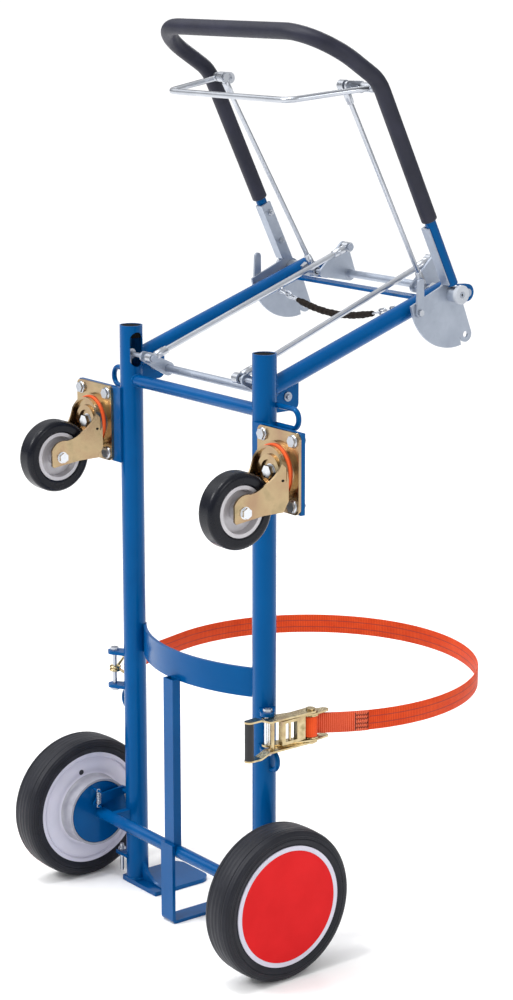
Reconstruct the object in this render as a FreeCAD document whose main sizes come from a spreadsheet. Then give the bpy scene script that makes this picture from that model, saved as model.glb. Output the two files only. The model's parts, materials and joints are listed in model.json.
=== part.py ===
"""Drum trolley with a folding brake handle: every piece is an object of one parametric document.

Millimetres, +X to the right, +Y forward to the load, +Z up; the origin lies on the floor,
midway between the two uprights.
"""
import FreeCAD
import Part
import math
import os
import re
from types import SimpleNamespace

Vec = FreeCAD.Vector
doc = FreeCAD.newDocument("drum_trolley")
sheet = doc.addObject("Spreadsheet::Sheet", "Dims")

# Each driving size: its name, its value and what it measures.
DRIVING = (
    ("run_fit", 0.05, "radial play of a pin that turns in its hole"),
    ("pin_play", 1.6, "radial play of the link pins that only pull"),
    ("side_gap", 0.5, "gap between faces that turn past each other"),
    ("upright_spacing", 374, "between the axes of the uprights"),
    ("upright_dia", 40, "upright tube"),
    ("upright_wall", 2.5, "upright tube"),
    ("upright_top", 1020, "height of the upright tops"),
    ("plug_depth", 20, "plastic plug in an upright top"),
    ("plug_sink", 1, "that plug below the tube's end"),
    ("slot_width", 24, "slot that lets the crank pin into the upright"),
    ("slot_height", 60, "slot that lets the crank pin into the upright"),
    ("slot_rise", 8, "middle of that slot above the crank pin"),
    ("slot_ahead", 3, "middle of that slot forward of the crank pin"),
    ("lever_slot_width", 17, "slot that lets the brake lever pin into the upright"),
    ("lever_slot_height", 42, "slot that lets the brake lever pin into the upright"),
    ("toe_thick", 8, "toe plate under the load"),
    ("toe_width", 104, "toe plate, across"),
    ("toe_reach", 105, "toe plate, forward of the uprights' axes"),
    ("toe_corner", 22, "front corners of the toe plate"),
    ("toe_edge", 2, "rear corners of the toe plate"),
    ("toe_seat", 1, "weld seat of an upright above the toe plate"),
    ("web_rise", 34, "height of the curved web over the toe"),
    ("web_thick", 6, "curved web over the toe"),
    ("web_lip", 3, "thin end of that web above the toe plate"),
    ("cross_dia", 22, "cross tube between the uprights"),
    ("cross_wall", 2, "cross tube between the uprights"),
    ("cross_drop", 95, "cross tube below the upright tops"),
    ("load_radius", 293, "radius of the drum that the cradle fits"),
    ("load_gap", 1.6, "between that drum and the uprights"),
    ("cradle_thick", 6, "curved flat bar"),
    ("cradle_height", 50, "curved flat bar"),
    ("cradle_level", 437, "lower edge of the curved flat bar"),
    ("strut_width", 27, "centre strut, across"),
    ("strut_depth", 16, "centre strut, front to back"),
    ("strut_wall", 2, "centre strut"),
    ("strut_weld", 4, "strut and flat bar past what they are welded to"),
    ("heel_width", 34, "flat bar under the strut"),
    ("heel_thick", 6, "flat bar under the strut"),
    ("heel_reach", 100, "flat bar's toe, measured from its back"),
    ("axle_dia", 22, "axle tube between the wheels"),
    ("stub_dia", 20, "axle stub in a wheel"),
    ("stub_tip", 10, "axle stub past the wheel hub"),
    ("wheel_dia", 260, "main wheel"),
    ("tyre_width", 61, "main wheel"),
    ("tyre_depth", 27, "tyre outside its seat on the rim"),
    ("cap_step", 8, "wheel cap inside the tyre seat"),
    ("cap_thick", 3.5, "red wheel cap"),
    ("drum_radius", 62, "outside of the brake drum"),
    ("drum_wall", 4, "brake drum"),
    ("shoe_thick", 8, "brake shoe"),
    ("plate_radius", 57, "brake backing plate"),
    ("brake_thick", 4, "brake backing plate"),
    ("brake_clear", 24, "between an upright and the brake backing plate"),
    ("lever_rise", 26, "brake lever shaft above the axle"),
    ("lever_pin_rise", 33, "pin at the free end of the brake lever above the axle"),
    ("lever_thick", 5, "brake lever"),
    ("lever_root", 11, "brake lever round its shaft"),
    ("lever_tip", 8, "brake lever round its pin"),
    ("lever_rim", 1, "brake lever round its tail peg, past the peg's own width"),
    ("lever_gap", 3, "between the brake lever and the backing plate"),
    ("lever_shaft_dia", 10, "shaft of the brake lever"),
    ("lever_shaft_tip", 4, "that shaft past the backing plate"),
    ("tail_back", 13, "brake lever's tail peg behind its shaft"),
    ("tail_drop", 7, "brake lever's tail peg below its shaft"),
    ("peg_dia", 4, "pegs that hold the brake spring"),
    ("spring_side", 16, "brake spring's axis inside the backing plate"),
    ("spring_radius", 3.8, "mean radius of the brake spring"),
    ("spring_wire", 1.6, "wire of the brake spring"),
    ("spring_pitch", 3.2, "pitch of the brake spring"),
    ("spring_turns", 7, "turns of the brake spring"),
    ("seat_gap", 0.2, "between a peg and what is hooked on it"),
    ("shoe_gap", 0.8, "between a brake shoe and its drum"),
    ("shoe_width", 20, "brake shoe, along the axle"),
    ("shoe_split", 24, "between the ends of the two brake shoes"),
    ("hub_out", 12, "wheel hub outside the middle plane"),
    ("hub_in", 30, "wheel hub inside the middle plane"),
    ("hub_radius", 24, "wheel hub"),
    ("drum_in", 57, "mouth of the brake drum inside the middle plane"),
    ("dish_out", -16, "outer face of the wheel disc from the middle plane"),
    ("dish_thick", 8, "wheel disc"),
    ("face_bend", 7, "turn from the wheel disc into the brake drum"),
    ("rim_edge", 6, "flat edge of the rim"),
    ("groove", 0.8, "fine grooves of the tyre"),
    ("cap_out", 26, "seat of the wheel cap outside the middle plane"),
    ("nut_dia", 28, "axle nut"),
    ("nut_thick", 8, "axle nut"),
    ("stop_dia", 7, "threaded stop rod beside an upright's foot"),
    ("stop_out", 9, "stop rod outside an upright's surface"),
    ("stop_back", 14, "stop rod behind the uprights' axes"),
    ("stop_level", 50, "bracket of the stop rod"),
    ("stop_run", 50, "length of the stop rod"),
    ("castor_side", 73, "swivel axis of a castor outside the upright's axis"),
    ("castor_drop", 174, "swivel axis of a castor below the upright tops"),
    ("mount_thick", 8, "plate welded behind an upright"),
    ("mount_face", 25, "back face of that plate behind the uprights' axes"),
    ("castor_plate_wide", 106, "castor plate, across"),
    ("castor_plate_tall", 132, "castor plate, up"),
    ("castor_plate_thick", 5, "castor plate"),
    ("castor_corner", 10, "corners of the castor plate"),
    ("bolt_across", 78, "castor bolts, across"),
    ("bolt_up", 105, "castor bolts, up"),
    ("bolt_dia", 10, "castor bolts"),
    ("bolt_end", 2, "castor bolts past their nuts"),
    ("race_radius", 47, "swivel race on the castor plate"),
    ("race_depth", 7, "swivel race on the castor plate"),
    ("seal_depth", 3.5, "dust ring of the swivel race"),
    ("seal_radius", 44, "dust ring of the swivel race"),
    ("crown_radius", 42, "crown of a castor fork"),
    ("king_dia", 14, "king pin of a castor"),
    ("king_nut", 8, "nut of the king pin"),
    ("fork_thick", 4, "pressed castor fork"),
    ("fork_gap", 45, "between the legs of a castor fork"),
    ("fork_corner", 3, "cut corner at the lower end of a fork leg"),
    ("castor_dia", 125, "castor wheel"),
    ("castor_width", 37, "castor wheel"),
    ("castor_depth", 20.5, "castor tyre outside its seat on the rim"),
    ("castor_lip", 2, "castor tyre past its rim at each side"),
    ("castor_shoulder", 9, "rounded shoulder of the castor tyre"),
    ("castor_flank", 3, "sloped foot of the castor tyre"),
    ("castor_bead", 6, "rim of the castor wheel"),
    ("castor_hub", 13, "hub of the castor wheel"),
    ("castor_web", 4, "half the castor wheel's disc"),
    ("castor_draft", 3, "hub's slope into the disc"),
    ("castor_bevel", 2, "rim's slope into the disc"),
    ("castor_build", 152, "castor height from its mounting face to the tread"),
    ("castor_trail", 53, "castor axle from the swivel axis"),
    ("castor_axle_dia", 10, "castor axle bolt"),
    ("arm_dia", 30, "arm tube"),
    ("arm_wall", 2.5, "arm tube"),
    ("arm_angle", 19, "slope of the arms in degrees"),
    ("arm_drop", 62, "arm axis at the uprights below their tops"),
    ("arm_end", 14, "arm tube past the handle pivot"),
    ("pivot_reach", 375, "handle pivot forward of the uprights"),
    ("pivot_dia", 16, "handle pivot pin"),
    ("pivot_head", 5, "head of the handle pivot pin"),
    ("pivot_tip", 4, "handle pivot pin past the boss"),
    ("spacer_step", 1, "spacer on the handle pivot, smaller than the boss"),
    ("hub_ahead", 59, "bell crank shaft forward of the handle pivot"),
    ("hub_drop", 7, "bell crank shaft below the handle pivot"),
    ("lug_radius", 15, "round end of the arm"),
    ("lug_thick", 8, "round end of the arm"),
    ("lug_fit", 1, "round end's tang inside the arm's bore"),
    ("gusset_reach", 68, "gusset forward of the uprights' axes"),
    ("gusset_drop", 99, "lower edge of the gusset below the upright tops"),
    ("gusset_thick", 6, "gusset under an arm"),
    ("gusset_edge", 2, "small corners of the gusset"),
    ("gusset_corner", 12, "front lower corner of the gusset"),
    ("tie_width", 24, "flat bar between the arms"),
    ("tie_thick", 5, "flat bar between the arms"),
    ("tie_back", 30, "flat bar's middle behind the handle pivot"),
    ("leg_clear", 12, "between an arm tube and the quadrant plate"),
    ("leg_dia", 19, "handle tube"),
    ("leg_wall", 2, "handle tube"),
    ("leg_lean", 116.2, "direction of the legs, degrees up from forward"),
    ("leg_run", 399, "handle pivot to the knee of a leg"),
    ("leg_foot", 20, "handle pivot to the foot of a leg"),
    ("top_lean", 147.8, "direction of the handle above its knees"),
    ("top_run", 146, "knee to the grip bar"),
    ("knee_bend", 70, "bend radius at the knees"),
    ("corner_bend", 85, "bend radius at the corners of the grip bar"),
    ("grip_dia", 27, "foam grip"),
    ("grip_start", 133, "handle pivot to the end of the foam grip"),
    ("sector_radius", 92, "quadrant plate at a leg foot"),
    ("sector_thick", 4, "quadrant plate at a leg foot"),
    ("detent_radius", 79, "latch holes from the handle pivot"),
    ("detent_dia", 11, "free latch hole"),
    ("fold_angle", 95, "fold of the handle between its two latch holes, in degrees"),
    ("sector_lap", 10, "quadrant plate past its rear latch bolt, in degrees"),
    ("sector_shoulder", 8, "quadrant plate's top corner past the boss"),
    ("sector_rim", 2, "free latch hole's lug round the boss"),
    ("strip_width", 18, "strip of the quadrant plate along a leg"),
    ("strip_run", 132, "handle pivot to the end of that strip"),
    ("flange_start", 24, "handle pivot to the flange behind a leg"),
    ("flange_over", 5, "that flange past the leg's axis"),
    ("flange_thick", 2.5, "flange behind a leg"),
    ("boss_radius", 14, "boss round the handle pivot"),
    ("boss_run", 22, "boss round the handle pivot, from the quadrant plate's inner face"),
    ("pivot_cap_radius", 16, "plastic cap on the handle pivot"),
    ("pivot_cap_thick", 7, "plastic cap on the handle pivot"),
    ("latch_thick", 4, "latch lever"),
    ("latch_run", 50, "latch lever"),
    ("latch_root", 8, "round root of the latch lever"),
    ("latch_tip", 6.5, "round tip of the latch lever"),
    ("latch_lean", 1, "latch lever's tip forward of its root"),
    ("leg_bolt_dia", 6, "bolts through a handle leg"),
    ("bolt_tip", 5, "thread past the nut of a leg bolt"),
    ("squeeze_below", 14, "brake bar pivot below the knee, along the leg"),
    ("squeeze_crank", 24.5, "crank of the brake bar"),
    ("squeeze_root", 10, "that crank round the brake bar's pivot"),
    ("squeeze_tip", 8, "that crank round its stud"),
    ("bar_dia", 10, "brake bar"),
    ("bar_inset", 65.5, "corner of the brake bar inside the leg's axis"),
    ("bar_back", 138, "brake bar's cross run behind its pivot"),
    ("bar_drop", 17, "brake bar's cross run below its pivot"),
    ("bar_bend", 22, "bend radius of the brake bar"),
    ("sleeve_dia", 16, "pivot sleeve of the brake bar"),
    ("crank_inset", 54.5, "crank of the brake bar inside the leg's axis"),
    ("crank_clear", 4, "between that crank and the rod end beside it"),
    ("handle_rod_dia", 8, "rod along the handle"),
    ("bell_inset", 65, "bell crank plate inside the upright's axis"),
    ("rod_side", 26, "handle rod's lower end outside the bell crank plate"),
    ("bell_thick", 5, "bell crank plate"),
    ("bell_rise", 50, "bell crank top pin above its shaft"),
    ("bell_lean", 14, "bell crank top pin behind its shaft"),
    ("bell_root", 13, "bell crank plate round its shaft"),
    ("bell_tip", 9, "bell crank plate round its pins"),
    ("shaft_dia", 14, "shafts of the bell crank and the lower crank"),
    ("shaft_tip", 3, "bell crank shaft past the arm ends"),
    ("long_rod_dia", 10, "rod along the arms"),
    ("stud_clear", 1.5, "between the bell crank plate and the rod end beside it"),
    ("long_rod_skew", 11, "long rod's lower end outside its upper end"),
    ("stud_dia", 8, "pins in the rod ends"),
    ("stud_cap", 3, "retaining caps of those pins"),
    ("eye_radius", 9, "rod ends"),
    ("eye_width", 14, "rod ends"),
    ("socket_run", 34, "socket of a rod end along its rod"),
    ("socket_wall", 1, "socket of a rod end"),
    ("crank_ahead", 45, "lower crank shaft forward of the uprights"),
    ("crank_drop", 75, "lower crank shaft below the upright tops"),
    ("crank_side", 45, "lower crank plate inside the upright's axis"),
    ("crank_root", 12, "lower crank round its shaft"),
    ("crank_tip", 9, "lower crank round its pin"),
    ("pin_back", 4, "lower crank pin behind the uprights' axes"),
    ("pin_drop", 49, "lower crank pin below the upright tops"),
    ("brake_rod_dia", 8, "rod inside an upright"),
    ("strap_level", 398, "middle of the strap above the floor"),
    ("strap_width", 35, "lashing strap"),
    ("strap_thick", 2.4, "lashing strap"),
    ("ear_spacing", 56, "between the ears that hold the strap"),
    ("ear_thick", 6, "ears that hold the strap"),
    ("ear_out", 35, "strap bolt outside an upright's axis"),
    ("ear_back", 20, "strap bolt behind the uprights' axes"),
    ("ear_root", 14, "ears round the upright's side"),
    ("ear_tip", 12, "ears round the strap bolt"),
    ("ear_lead", 4, "ears' root behind the uprights' axes"),
    ("strap_bolt_dia", 8, "strap bolt"),
    ("strap_bolt_end", 1, "strap bolt past its nut"),
    ("eye_wire", 9, "bent lashing eye"),
    ("eye_bend", 16, "bend radius of a lashing eye"),
    ("upper_eye_drop", 99, "upper lashing eyes below the upright tops"),
    ("upper_eye_ahead", 13, "upper lashing eyes forward of the uprights' axes"),
    ("upper_eye_out", 72, "upper lashing eyes outside the uprights' axes"),
    ("lower_eye_level", 340, "height of the lower lashing eyes"),
    ("lower_eye_out", 36, "lower lashing eyes outside the uprights' axes"),
    ("spindle_run", 78, "strap bolt to the ratchet spindle"),
    ("spindle_clear", 1, "between the wound strap and the strap on the load"),
    ("spindle_dia", 15, "ratchet spindle"),
    ("ratchet_gap", 42, "between the side plates of the ratchet"),
    ("ratchet_thick", 3, "side plates of the ratchet"),
    ("ratchet_nose", 27, "ratchet side plates past the spindle"),
    ("nose_side", 2, "that nose to the right of the spindle"),
    ("ratchet_heel", 10, "ratchet side plates round the strap bolt"),
    ("ratchet_cheek", 13, "ratchet side plates round the spindle"),
    ("ratchet_toe", 8, "round nose of the ratchet side plates"),
    ("bush_wall", 2, "bush on the strap bolt"),
    ("ratchet_tooth", 14, "tip radius of the ratchet wheels"),
    ("ratchet_teeth", 12, "teeth of a ratchet wheel"),
    ("ratchet_lean", 14.55548, "ratchet lever off the line from its spindle to the strap bolt, in degrees"),
    ("strap_lift", 0.3, "between layers of strap and what they lie on"),
    ("hook_back", 40, "strap's end bar from the left strap bolt"),
    ("hook_wire", 5, "wire of the strap hook"),
    ("hook_play", 1.5, "ring of the strap hook round the strap bolt"),
    ("hook_pull", 1.3, "ring's centre towards the strap"),
    ("hook_spread", 4.5, "legs of the strap hook outside the strap's edges"),
    ("ratchet_lever_run", 131, "ratchet lever from the spindle to its grip"),
    ("lever_cheek", 12, "ratchet lever round the spindle"),
    ("lever_end", 8, "ratchet lever round its grip"),
    ("lever_tie", 3, "radius of the bar between the ratchet lever's arms"),
    ("lever_flare", 7, "outward step of the ratchet lever's arms"),
    ("flare_start", 93, "spindle to the start of that step"),
    ("flare_end", 111, "spindle to the end of that step"),
    ("pawl_run", 50, "ratchet pawl"),
    ("pawl_half", 5, "half the thickness of the pawl"),
    ("pawl_pin", 2.5, "radius of the pin in the pawl's window"),
    ("ratchet_grip_dia", 15, "black grip of the ratchet lever"),
    ("chain_ahead", 300, "chain forward of the uprights"),
    ("chain_slope", 14, "slope of the chain at its hooks in degrees"),
    ("chain_sleeve_dia", 12, "fabric sleeve of the chain"),
    ("link_wire", 3.5, "wire of a chain link"),
    ("link_bend", 4.5, "mean bend of a chain link"),
    ("link_run", 9, "straight side of a chain link"),
    ("links_a_side", 4, "chain links at each end of the sleeve"),
    ("hook_reach", 14, "chain hook inside an arm tube"),
    ("hook_width", 11, "chain hook"),
    ("hook_thick", 2.5, "chain hook"),
    ("link_play", 1, "hole of the chain hook round the link's wire"),
)

# Sizes that follow from the driving ones.
DERIVED = (
    ("upright_x", "=upright_spacing / 2"),
    ("upright_r", "=upright_dia / 2"),
    ("brake_x", "=upright_x + upright_r + brake_clear"),
    ("wheel_x", "=brake_x + drum_in"),
    ("wheel_r", "=wheel_dia / 2"),
    ("rim_radius", "=wheel_r - tyre_depth"),
    ("cap_radius", "=rim_radius - cap_step"),
    ("lever_level", "=wheel_r + lever_pin_rise"),
    ("track", "=2 * wheel_x"),
    ("cross_level", "=upright_top - cross_drop"),
    ("castor_x", "=upright_x + castor_side"),
    ("castor_level", "=upright_top - castor_drop"),
    ("castor_rim", "=castor_dia / 2 - castor_depth"),
    ("arm_root", "=upright_top - arm_drop"),
    ("gusset_foot", "=upright_top - gusset_drop"),
    ("crank_level", "=upright_top - crank_drop"),
    ("pin_level", "=upright_top - pin_drop"),
    ("upper_eye_level", "=upright_top - upper_eye_drop"),
    ("sector_x", "=upright_x + arm_dia / 2 + leg_clear"),
    ("leg_x", "=sector_x + sector_thick + leg_dia / 2"),
    ("bar_half", "=leg_x - bar_inset"),
    ("crank_x", "=leg_x - crank_inset"),
    ("rod_top_x", "=crank_x - crank_clear - eye_width / 2"),
    ("bell_x", "=upright_x - bell_inset"),
    ("rod_foot_x", "=bell_x + rod_side"),
    ("long_top_x", "=bell_x - bell_thick / 2 - stud_clear - eye_width / 2"),
    ("long_foot_x", "=long_top_x + long_rod_skew"),
    ("crank_plate_x", "=upright_x - crank_side"),
    ("pivot_level", "=arm_root + pivot_reach * tan(arm_angle * 1 deg)"),
    ("hub_reach", "=pivot_reach + hub_ahead"),
    ("hub_level", "=pivot_level - hub_drop"),
    ("load_y", "=sqrt((load_radius + load_gap + upright_r)^2 - upright_x^2)"),
    ("strut_face", "=load_radius + cradle_thick - load_y"),
    ("axle_back", "=strut_face + strut_depth - axle_dia / 2"),
    ("strap_bolt_x", "=upright_x + ear_out"),
    ("swivel_y", "=mount_face + castor_plate_thick"),
    ("castor_axle_y", "=mount_face + castor_build - castor_dia / 2"),
    ("castor_axle_z", "=castor_level - castor_trail"),
    ("crown_y", "=swivel_y + race_depth + seal_depth + side_gap"),
)

for row, entry in enumerate(DRIVING + DERIVED, start=1):
    sheet.set(f"A{row}", str(entry[1]))
    sheet.setAlias(f"A{row}", entry[0])
    sheet.set(f"B{row}", entry[-1].lstrip("="))
doc.recompute()
v = SimpleNamespace(**{entry[0]: float(sheet.get(entry[0])) for entry in DRIVING + DERIVED})
NODES = []


def rule(text):
    """Turn a sum written with size names into an expression on the sheet."""
    def point_at_sheet(word):
        return "Dims." + word.group() if hasattr(v, word.group()) else word.group()

    return re.sub(r"[a-z_]{3,}", point_at_sheet, text)


def bind(thing, **rules):
    for field, text in rules.items():
        thing.setExpression(field, rule(text))
    return thing


TURNS = {
    "x": FreeCAD.Rotation(Vec(0, 1, 0), 90),
    "y": FreeCAD.Rotation(Vec(1, 0, 0), -90),
    "z": FreeCAD.Rotation(),
    "arm": FreeCAD.Rotation(Vec(1, 0, 0), v.arm_angle - 90),
}


def settle(thing, at, turn="z"):
    """Place an object at sums of sizes or worked-out numbers, its own Z along the named axis."""
    known = [0 if isinstance(place, str) else place for place in at]
    thing.Placement = FreeCAD.Placement(Vec(*known), TURNS[turn])
    for letter, place in zip("xyz", at):
        if isinstance(place, str):
            thing.setExpression("Placement.Base." + letter, rule(place))
    return thing


def rod(name, radius, length, at, along="z"):
    """A round bar that starts at a point and runs along the named axis."""
    return settle(bind(doc.addObject("Part::Cylinder", name), Radius=radius, Height=length), at, along)


def block(name, sizes, at):
    thing = bind(doc.addObject("Part::Box", name), Length=sizes[0], Width=sizes[1], Height=sizes[2])
    return settle(thing, at)


def hexagon(name, across, length, at, along="z"):
    """A hexagon head or nut, sized by the radius of its corners."""
    prism = doc.addObject("Part::Prism", name)
    prism.Polygon = 6
    return settle(bind(prism, Circumradius=across, Height=length), at, along)


def join(name, *things):
    whole = doc.addObject("Part::MultiFuse", name)
    whole.Shapes = list(things)
    return whole


def less(name, base, *tools):
    cut = doc.addObject("Part::Cut", name)
    cut.Base = base
    cut.Tool = tools[0] if len(tools) == 1 else join(name + "_tools", *tools)
    return cut


def meet(name, one, two):
    """What two pieces have in common."""
    common = doc.addObject("Part::Common", name)
    common.Base = one
    common.Tool = two
    return common


def group(name, *things):
    together = doc.addObject("Part::Compound", name)
    together.Links = list(things)
    return together


def mirror(name, thing):
    """The same piece on the left side."""
    twin = doc.addObject("Part::Mirroring", name)
    twin.Source = thing
    twin.Normal = Vec(1, 0, 0)
    return twin


def node(label, thing):
    """Name a finished piece; its label is its file name."""
    thing.Label = label
    NODES.append(thing)
    return thing


def both(stem, thing):
    """File a right-hand piece and its left-hand twin as two nodes."""
    node(stem + "_right", thing)
    node(stem + "_left", mirror(stem + "_twin", thing))


def pair(label, thing):
    """File a right-hand piece and its left-hand twin as one node."""
    return node(label, group(label + "_pair", thing, mirror(label + "_twin", thing)))


def belt_angle(one, two):
    """Where a belt leaves the first circle for the second, in radians."""
    across = two[0] - one[0]
    up = two[1] - one[1]
    return math.atan2(up, across) - math.acos((one[2] - two[2]) / math.hypot(across, up))


def wrap(*circles):
    """Outline of a belt drawn tight round circles, given anticlockwise as (across, up, radius)."""
    following = circles[1:] + circles[:1]
    outward = [belt_angle(one, two) for one, two in zip(circles, following)]
    edges = []
    for index, (x, y, radius) in enumerate(circles):
        start = outward[index - 1]
        end = outward[index]
        while end < start:
            end += 2 * math.pi
        edges.append(Part.ArcOfCircle(Part.Circle(Vec(x, y, 0), Vec(0, 0, 1), radius), start, end))
        x2, y2, radius2 = following[index]
        way = Vec(math.cos(end), math.sin(end), 0)
        edges.append(Part.LineSegment(Vec(x, y, 0) + way * radius, Vec(x2, y2, 0) + way * radius2))
    return edges


def polygon(*points):
    """Straight edges through points, closed."""
    corners = [Vec(x, y, 0) for x, y in points]
    return [Part.LineSegment(a, b) for a, b in zip(corners, corners[1:] + corners[:1])]


def sketch_on(body, plane, edges, level="0"):
    sketch = body.newObject("Sketcher::SketchObject", body.Name + "_sketch")
    face = next(item for item in body.Origin.OriginFeatures if item.Role == plane + "_Plane")
    sketch.AttachmentSupport = (face, [""])
    sketch.MapMode = "FlatFace"
    sketch.setExpression("AttachmentOffset.Base.z", rule(level))
    sketch.addGeometry(edges, False)
    return sketch


def plate(name, edges, thick, level, plane="YZ"):
    """A padded outline; its near face lies at the given level along the plane's normal."""
    body = doc.addObject("PartDesign::Body", name)
    sketch = sketch_on(body, plane, edges, level)
    pad = body.newObject("PartDesign::Pad", name + "_pad")
    pad.Profile = sketch
    pad.setExpression("Length", rule(thick))
    return body


def lathe(name, edges, at):
    """An outline of (along X, radius) turned about the X axis, then placed."""
    body = doc.addObject("PartDesign::Body", name)
    sketch = sketch_on(body, "XZ", edges)
    turned = body.newObject("PartDesign::Revolution", name + "_turned")
    turned.Profile = sketch
    turned.ReferenceAxis = (sketch, ["H_Axis"])
    turned.Angle = 360
    return settle(body, at)


def rounded_path(points, bends):
    """A wire through points with an arc of the given radius at each inner corner."""
    edges = []
    here = points[0]
    for before, corner, after, bend in zip(points, points[1:], points[2:], bends):
        back = (before - corner).normalize()
        onward = (after - corner).normalize()
        turn = math.pi - back.getAngle(onward)
        setback = bend * math.tan(turn / 2)
        start = corner + back * setback
        end = corner + onward * setback
        middle = (back + onward).normalize()
        bulge = corner + middle * (bend / math.cos(turn / 2) - bend)
        edges.append(Part.makeLine(here, start))
        edges.append(Part.Arc(start, bulge, end).toShape())
        here = end
    edges.append(Part.makeLine(here, points[-1]))
    return Part.Wire(edges)


def along(name, wire, radius):
    """A round bar swept along a wire."""
    path = doc.addObject("Part::Feature", name + "_path")
    path.Shape = wire
    first = wire.Edges[0]
    ring = bind(doc.addObject("Part::Circle", name + "_ring"), Radius=radius)
    heading = first.tangentAt(first.FirstParameter)
    ring.Placement = FreeCAD.Placement(first.valueAt(first.FirstParameter),
                                       FreeCAD.Rotation(Vec(0, 0, 1), heading))
    sweep = doc.addObject("Part::Sweep", name)
    sweep.Sections = [ring]
    sweep.Spine = (path, ["Edge%d" % (index + 1) for index in range(len(wire.Edges))])
    sweep.Solid = True
    return sweep


def slot(name, width, height, depth, at):
    """A round-ended cutter that runs along X from a point at the slot's centre."""
    x, y, z = at
    body = block(name + "_body", (depth, width, f"{height} - {width}"),
                 (x, f"{y} - {width} / 2", f"{z} - ({height} - {width}) / 2"))
    low = rod(name + "_low", f"{width} / 2", depth, (x, y, f"{z} - ({height} - {width}) / 2"), "x")
    high = rod(name + "_high", f"{width} / 2", depth, (x, y, f"{z} + ({height} - {width}) / 2"), "x")
    return join(name, body, low, high)


def polar(centre, angle, distance):
    """A point (forward, up) at an angle in degrees from forward."""
    turn = math.radians(angle)
    return centre[0] + distance * math.cos(turn), centre[1] + distance * math.sin(turn)


# Points of the linkage in the side view, as (forward, up); the strap bolt in plan, as (across, forward).
PIVOT = (v.pivot_reach, v.pivot_level)
HUB = (v.hub_reach, v.hub_level)
BELL_TOP = (v.hub_reach - v.bell_lean, v.hub_level + v.bell_rise)
CRANK = (v.crank_ahead, v.crank_level)
CRANK_PIN = (-v.pin_back, v.pin_level)
KNEE = polar(PIVOT, v.leg_lean, v.leg_run)
GRIP_BAR = polar(KNEE, v.top_lean, v.top_run)
SQUEEZE = polar(PIVOT, v.leg_lean, v.leg_run - v.squeeze_below)
BELL_ARM = math.degrees(math.atan2(PIVOT[1] - HUB[1], PIVOT[0] - HUB[0]))
ROD_TOP = polar(SQUEEZE, BELL_ARM, v.squeeze_crank)
AXLE = (-v.axle_back, v.wheel_r)
LEVER_SHAFT = (-v.axle_back, v.wheel_r + v.lever_rise)
LEVER_PIN = (-v.pin_back, v.lever_level)
LEVER_TAIL = (LEVER_SHAFT[0] - v.tail_back, LEVER_SHAFT[1] - v.tail_drop)
SPRING_LOW = LEVER_TAIL[1] + v.peg_dia / 2 + v.seat_gap + v.spring_wire / 2
SPRING_HIGH = SPRING_LOW + v.spring_turns * v.spring_pitch
SPRING_PEG = (LEVER_TAIL[0], SPRING_HIGH + v.spring_wire / 2 + v.seat_gap + v.peg_dia / 2)
LATCH = polar(PIVOT, 180 + v.arm_angle, v.detent_radius)
STRAP_BOLT = (v.strap_bolt_x, -v.ear_back)
CHAIN_HOLE = Vec(v.upright_x - v.arm_dia / 2 - v.hook_reach * 0.65, v.chain_ahead,
                 v.arm_root + v.chain_ahead * math.tan(math.radians(v.arm_angle)))


def side_point(x, point):
    return Vec(x, point[0], point[1])


def profile(start, *steps):
    """A closed outline: each step is a point to reach by a line, or a middle and an end point of an arc."""
    edges = []
    here = Vec(*start, 0)
    for step in steps + (start,):
        there = Vec(*step[-2:], 0)
        if len(step) == 4:
            edges.append(Part.Arc(here, Vec(*step[:2], 0), there))
        else:
            edges.append(Part.LineSegment(here, there))
        here = there
    return edges


def straight(name, start, end, radius):
    """A round bar between two points."""
    way = end - start
    bar = bind(doc.addObject("Part::Cylinder", name), Radius=radius)
    bar.Height = way.Length
    bar.Placement = FreeCAD.Placement(start, FreeCAD.Rotation(Vec(0, 0, 1), way))
    return bar


RIGHT_BLANK = rod("right_upright_blank", "upright_r", "upright_top", ("upright_x", "0", "0"))
LEFT_BLANK = rod("left_upright_blank", "upright_r", "upright_top", ("0 - upright_x", "0", "0"))
ARM_LENGTH = "pivot_reach / cos(arm_angle * 1 deg) + arm_end"
ARM_BLANK = rod("arm_blank", "arm_dia / 2", ARM_LENGTH, ("upright_x", "0", "arm_root"), "arm")
AXLE_BLANK = rod("axle_blank", "axle_dia / 2", "track", ("0 - track / 2", "0 - axle_back", "wheel_r"), "x")


def make_uprights():
    foot = "toe_thick + toe_seat"
    tube = rod("upright_tube", "upright_r", f"upright_top - ({foot})", ("upright_x", "0", foot))
    reach = "upright_r + stop_out + stop_dia"
    bracket = block("stop_bracket", (reach, "2.4 * stop_dia", "web_thick"),
                    ("upright_x", "0 - stop_back - 1.2 * stop_dia", "stop_level - web_thick / 2"))
    stop_hole = rod("stop_hole", "stop_dia / 2", "2 * web_thick",
                    ("upright_x + upright_r + stop_out", "0 - stop_back", "stop_level - web_thick"))
    bore = rod("upright_bore", "upright_r - upright_wall", "upright_top", ("upright_x", "0", "0"))
    crank_slot = slot("crank_slot", "slot_width", "slot_height", "upright_dia",
                      ("upright_x - upright_dia", "slot_ahead - pin_back", "pin_level + slot_rise"))
    lever_slot = slot("lever_slot", "lever_slot_width", "lever_slot_height", "upright_dia",
                      ("upright_x", "0 - pin_back", "lever_level"))
    both("upright",
         less("upright", join("upright_welded", tube, bracket), bore, crank_slot, lever_slot, stop_hole))
    plug = rod("plug", "upright_r - upright_wall", "plug_depth",
               ("upright_x", "0", "upright_top - plug_depth - plug_sink"))
    pair("tube_plugs", plug)


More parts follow.
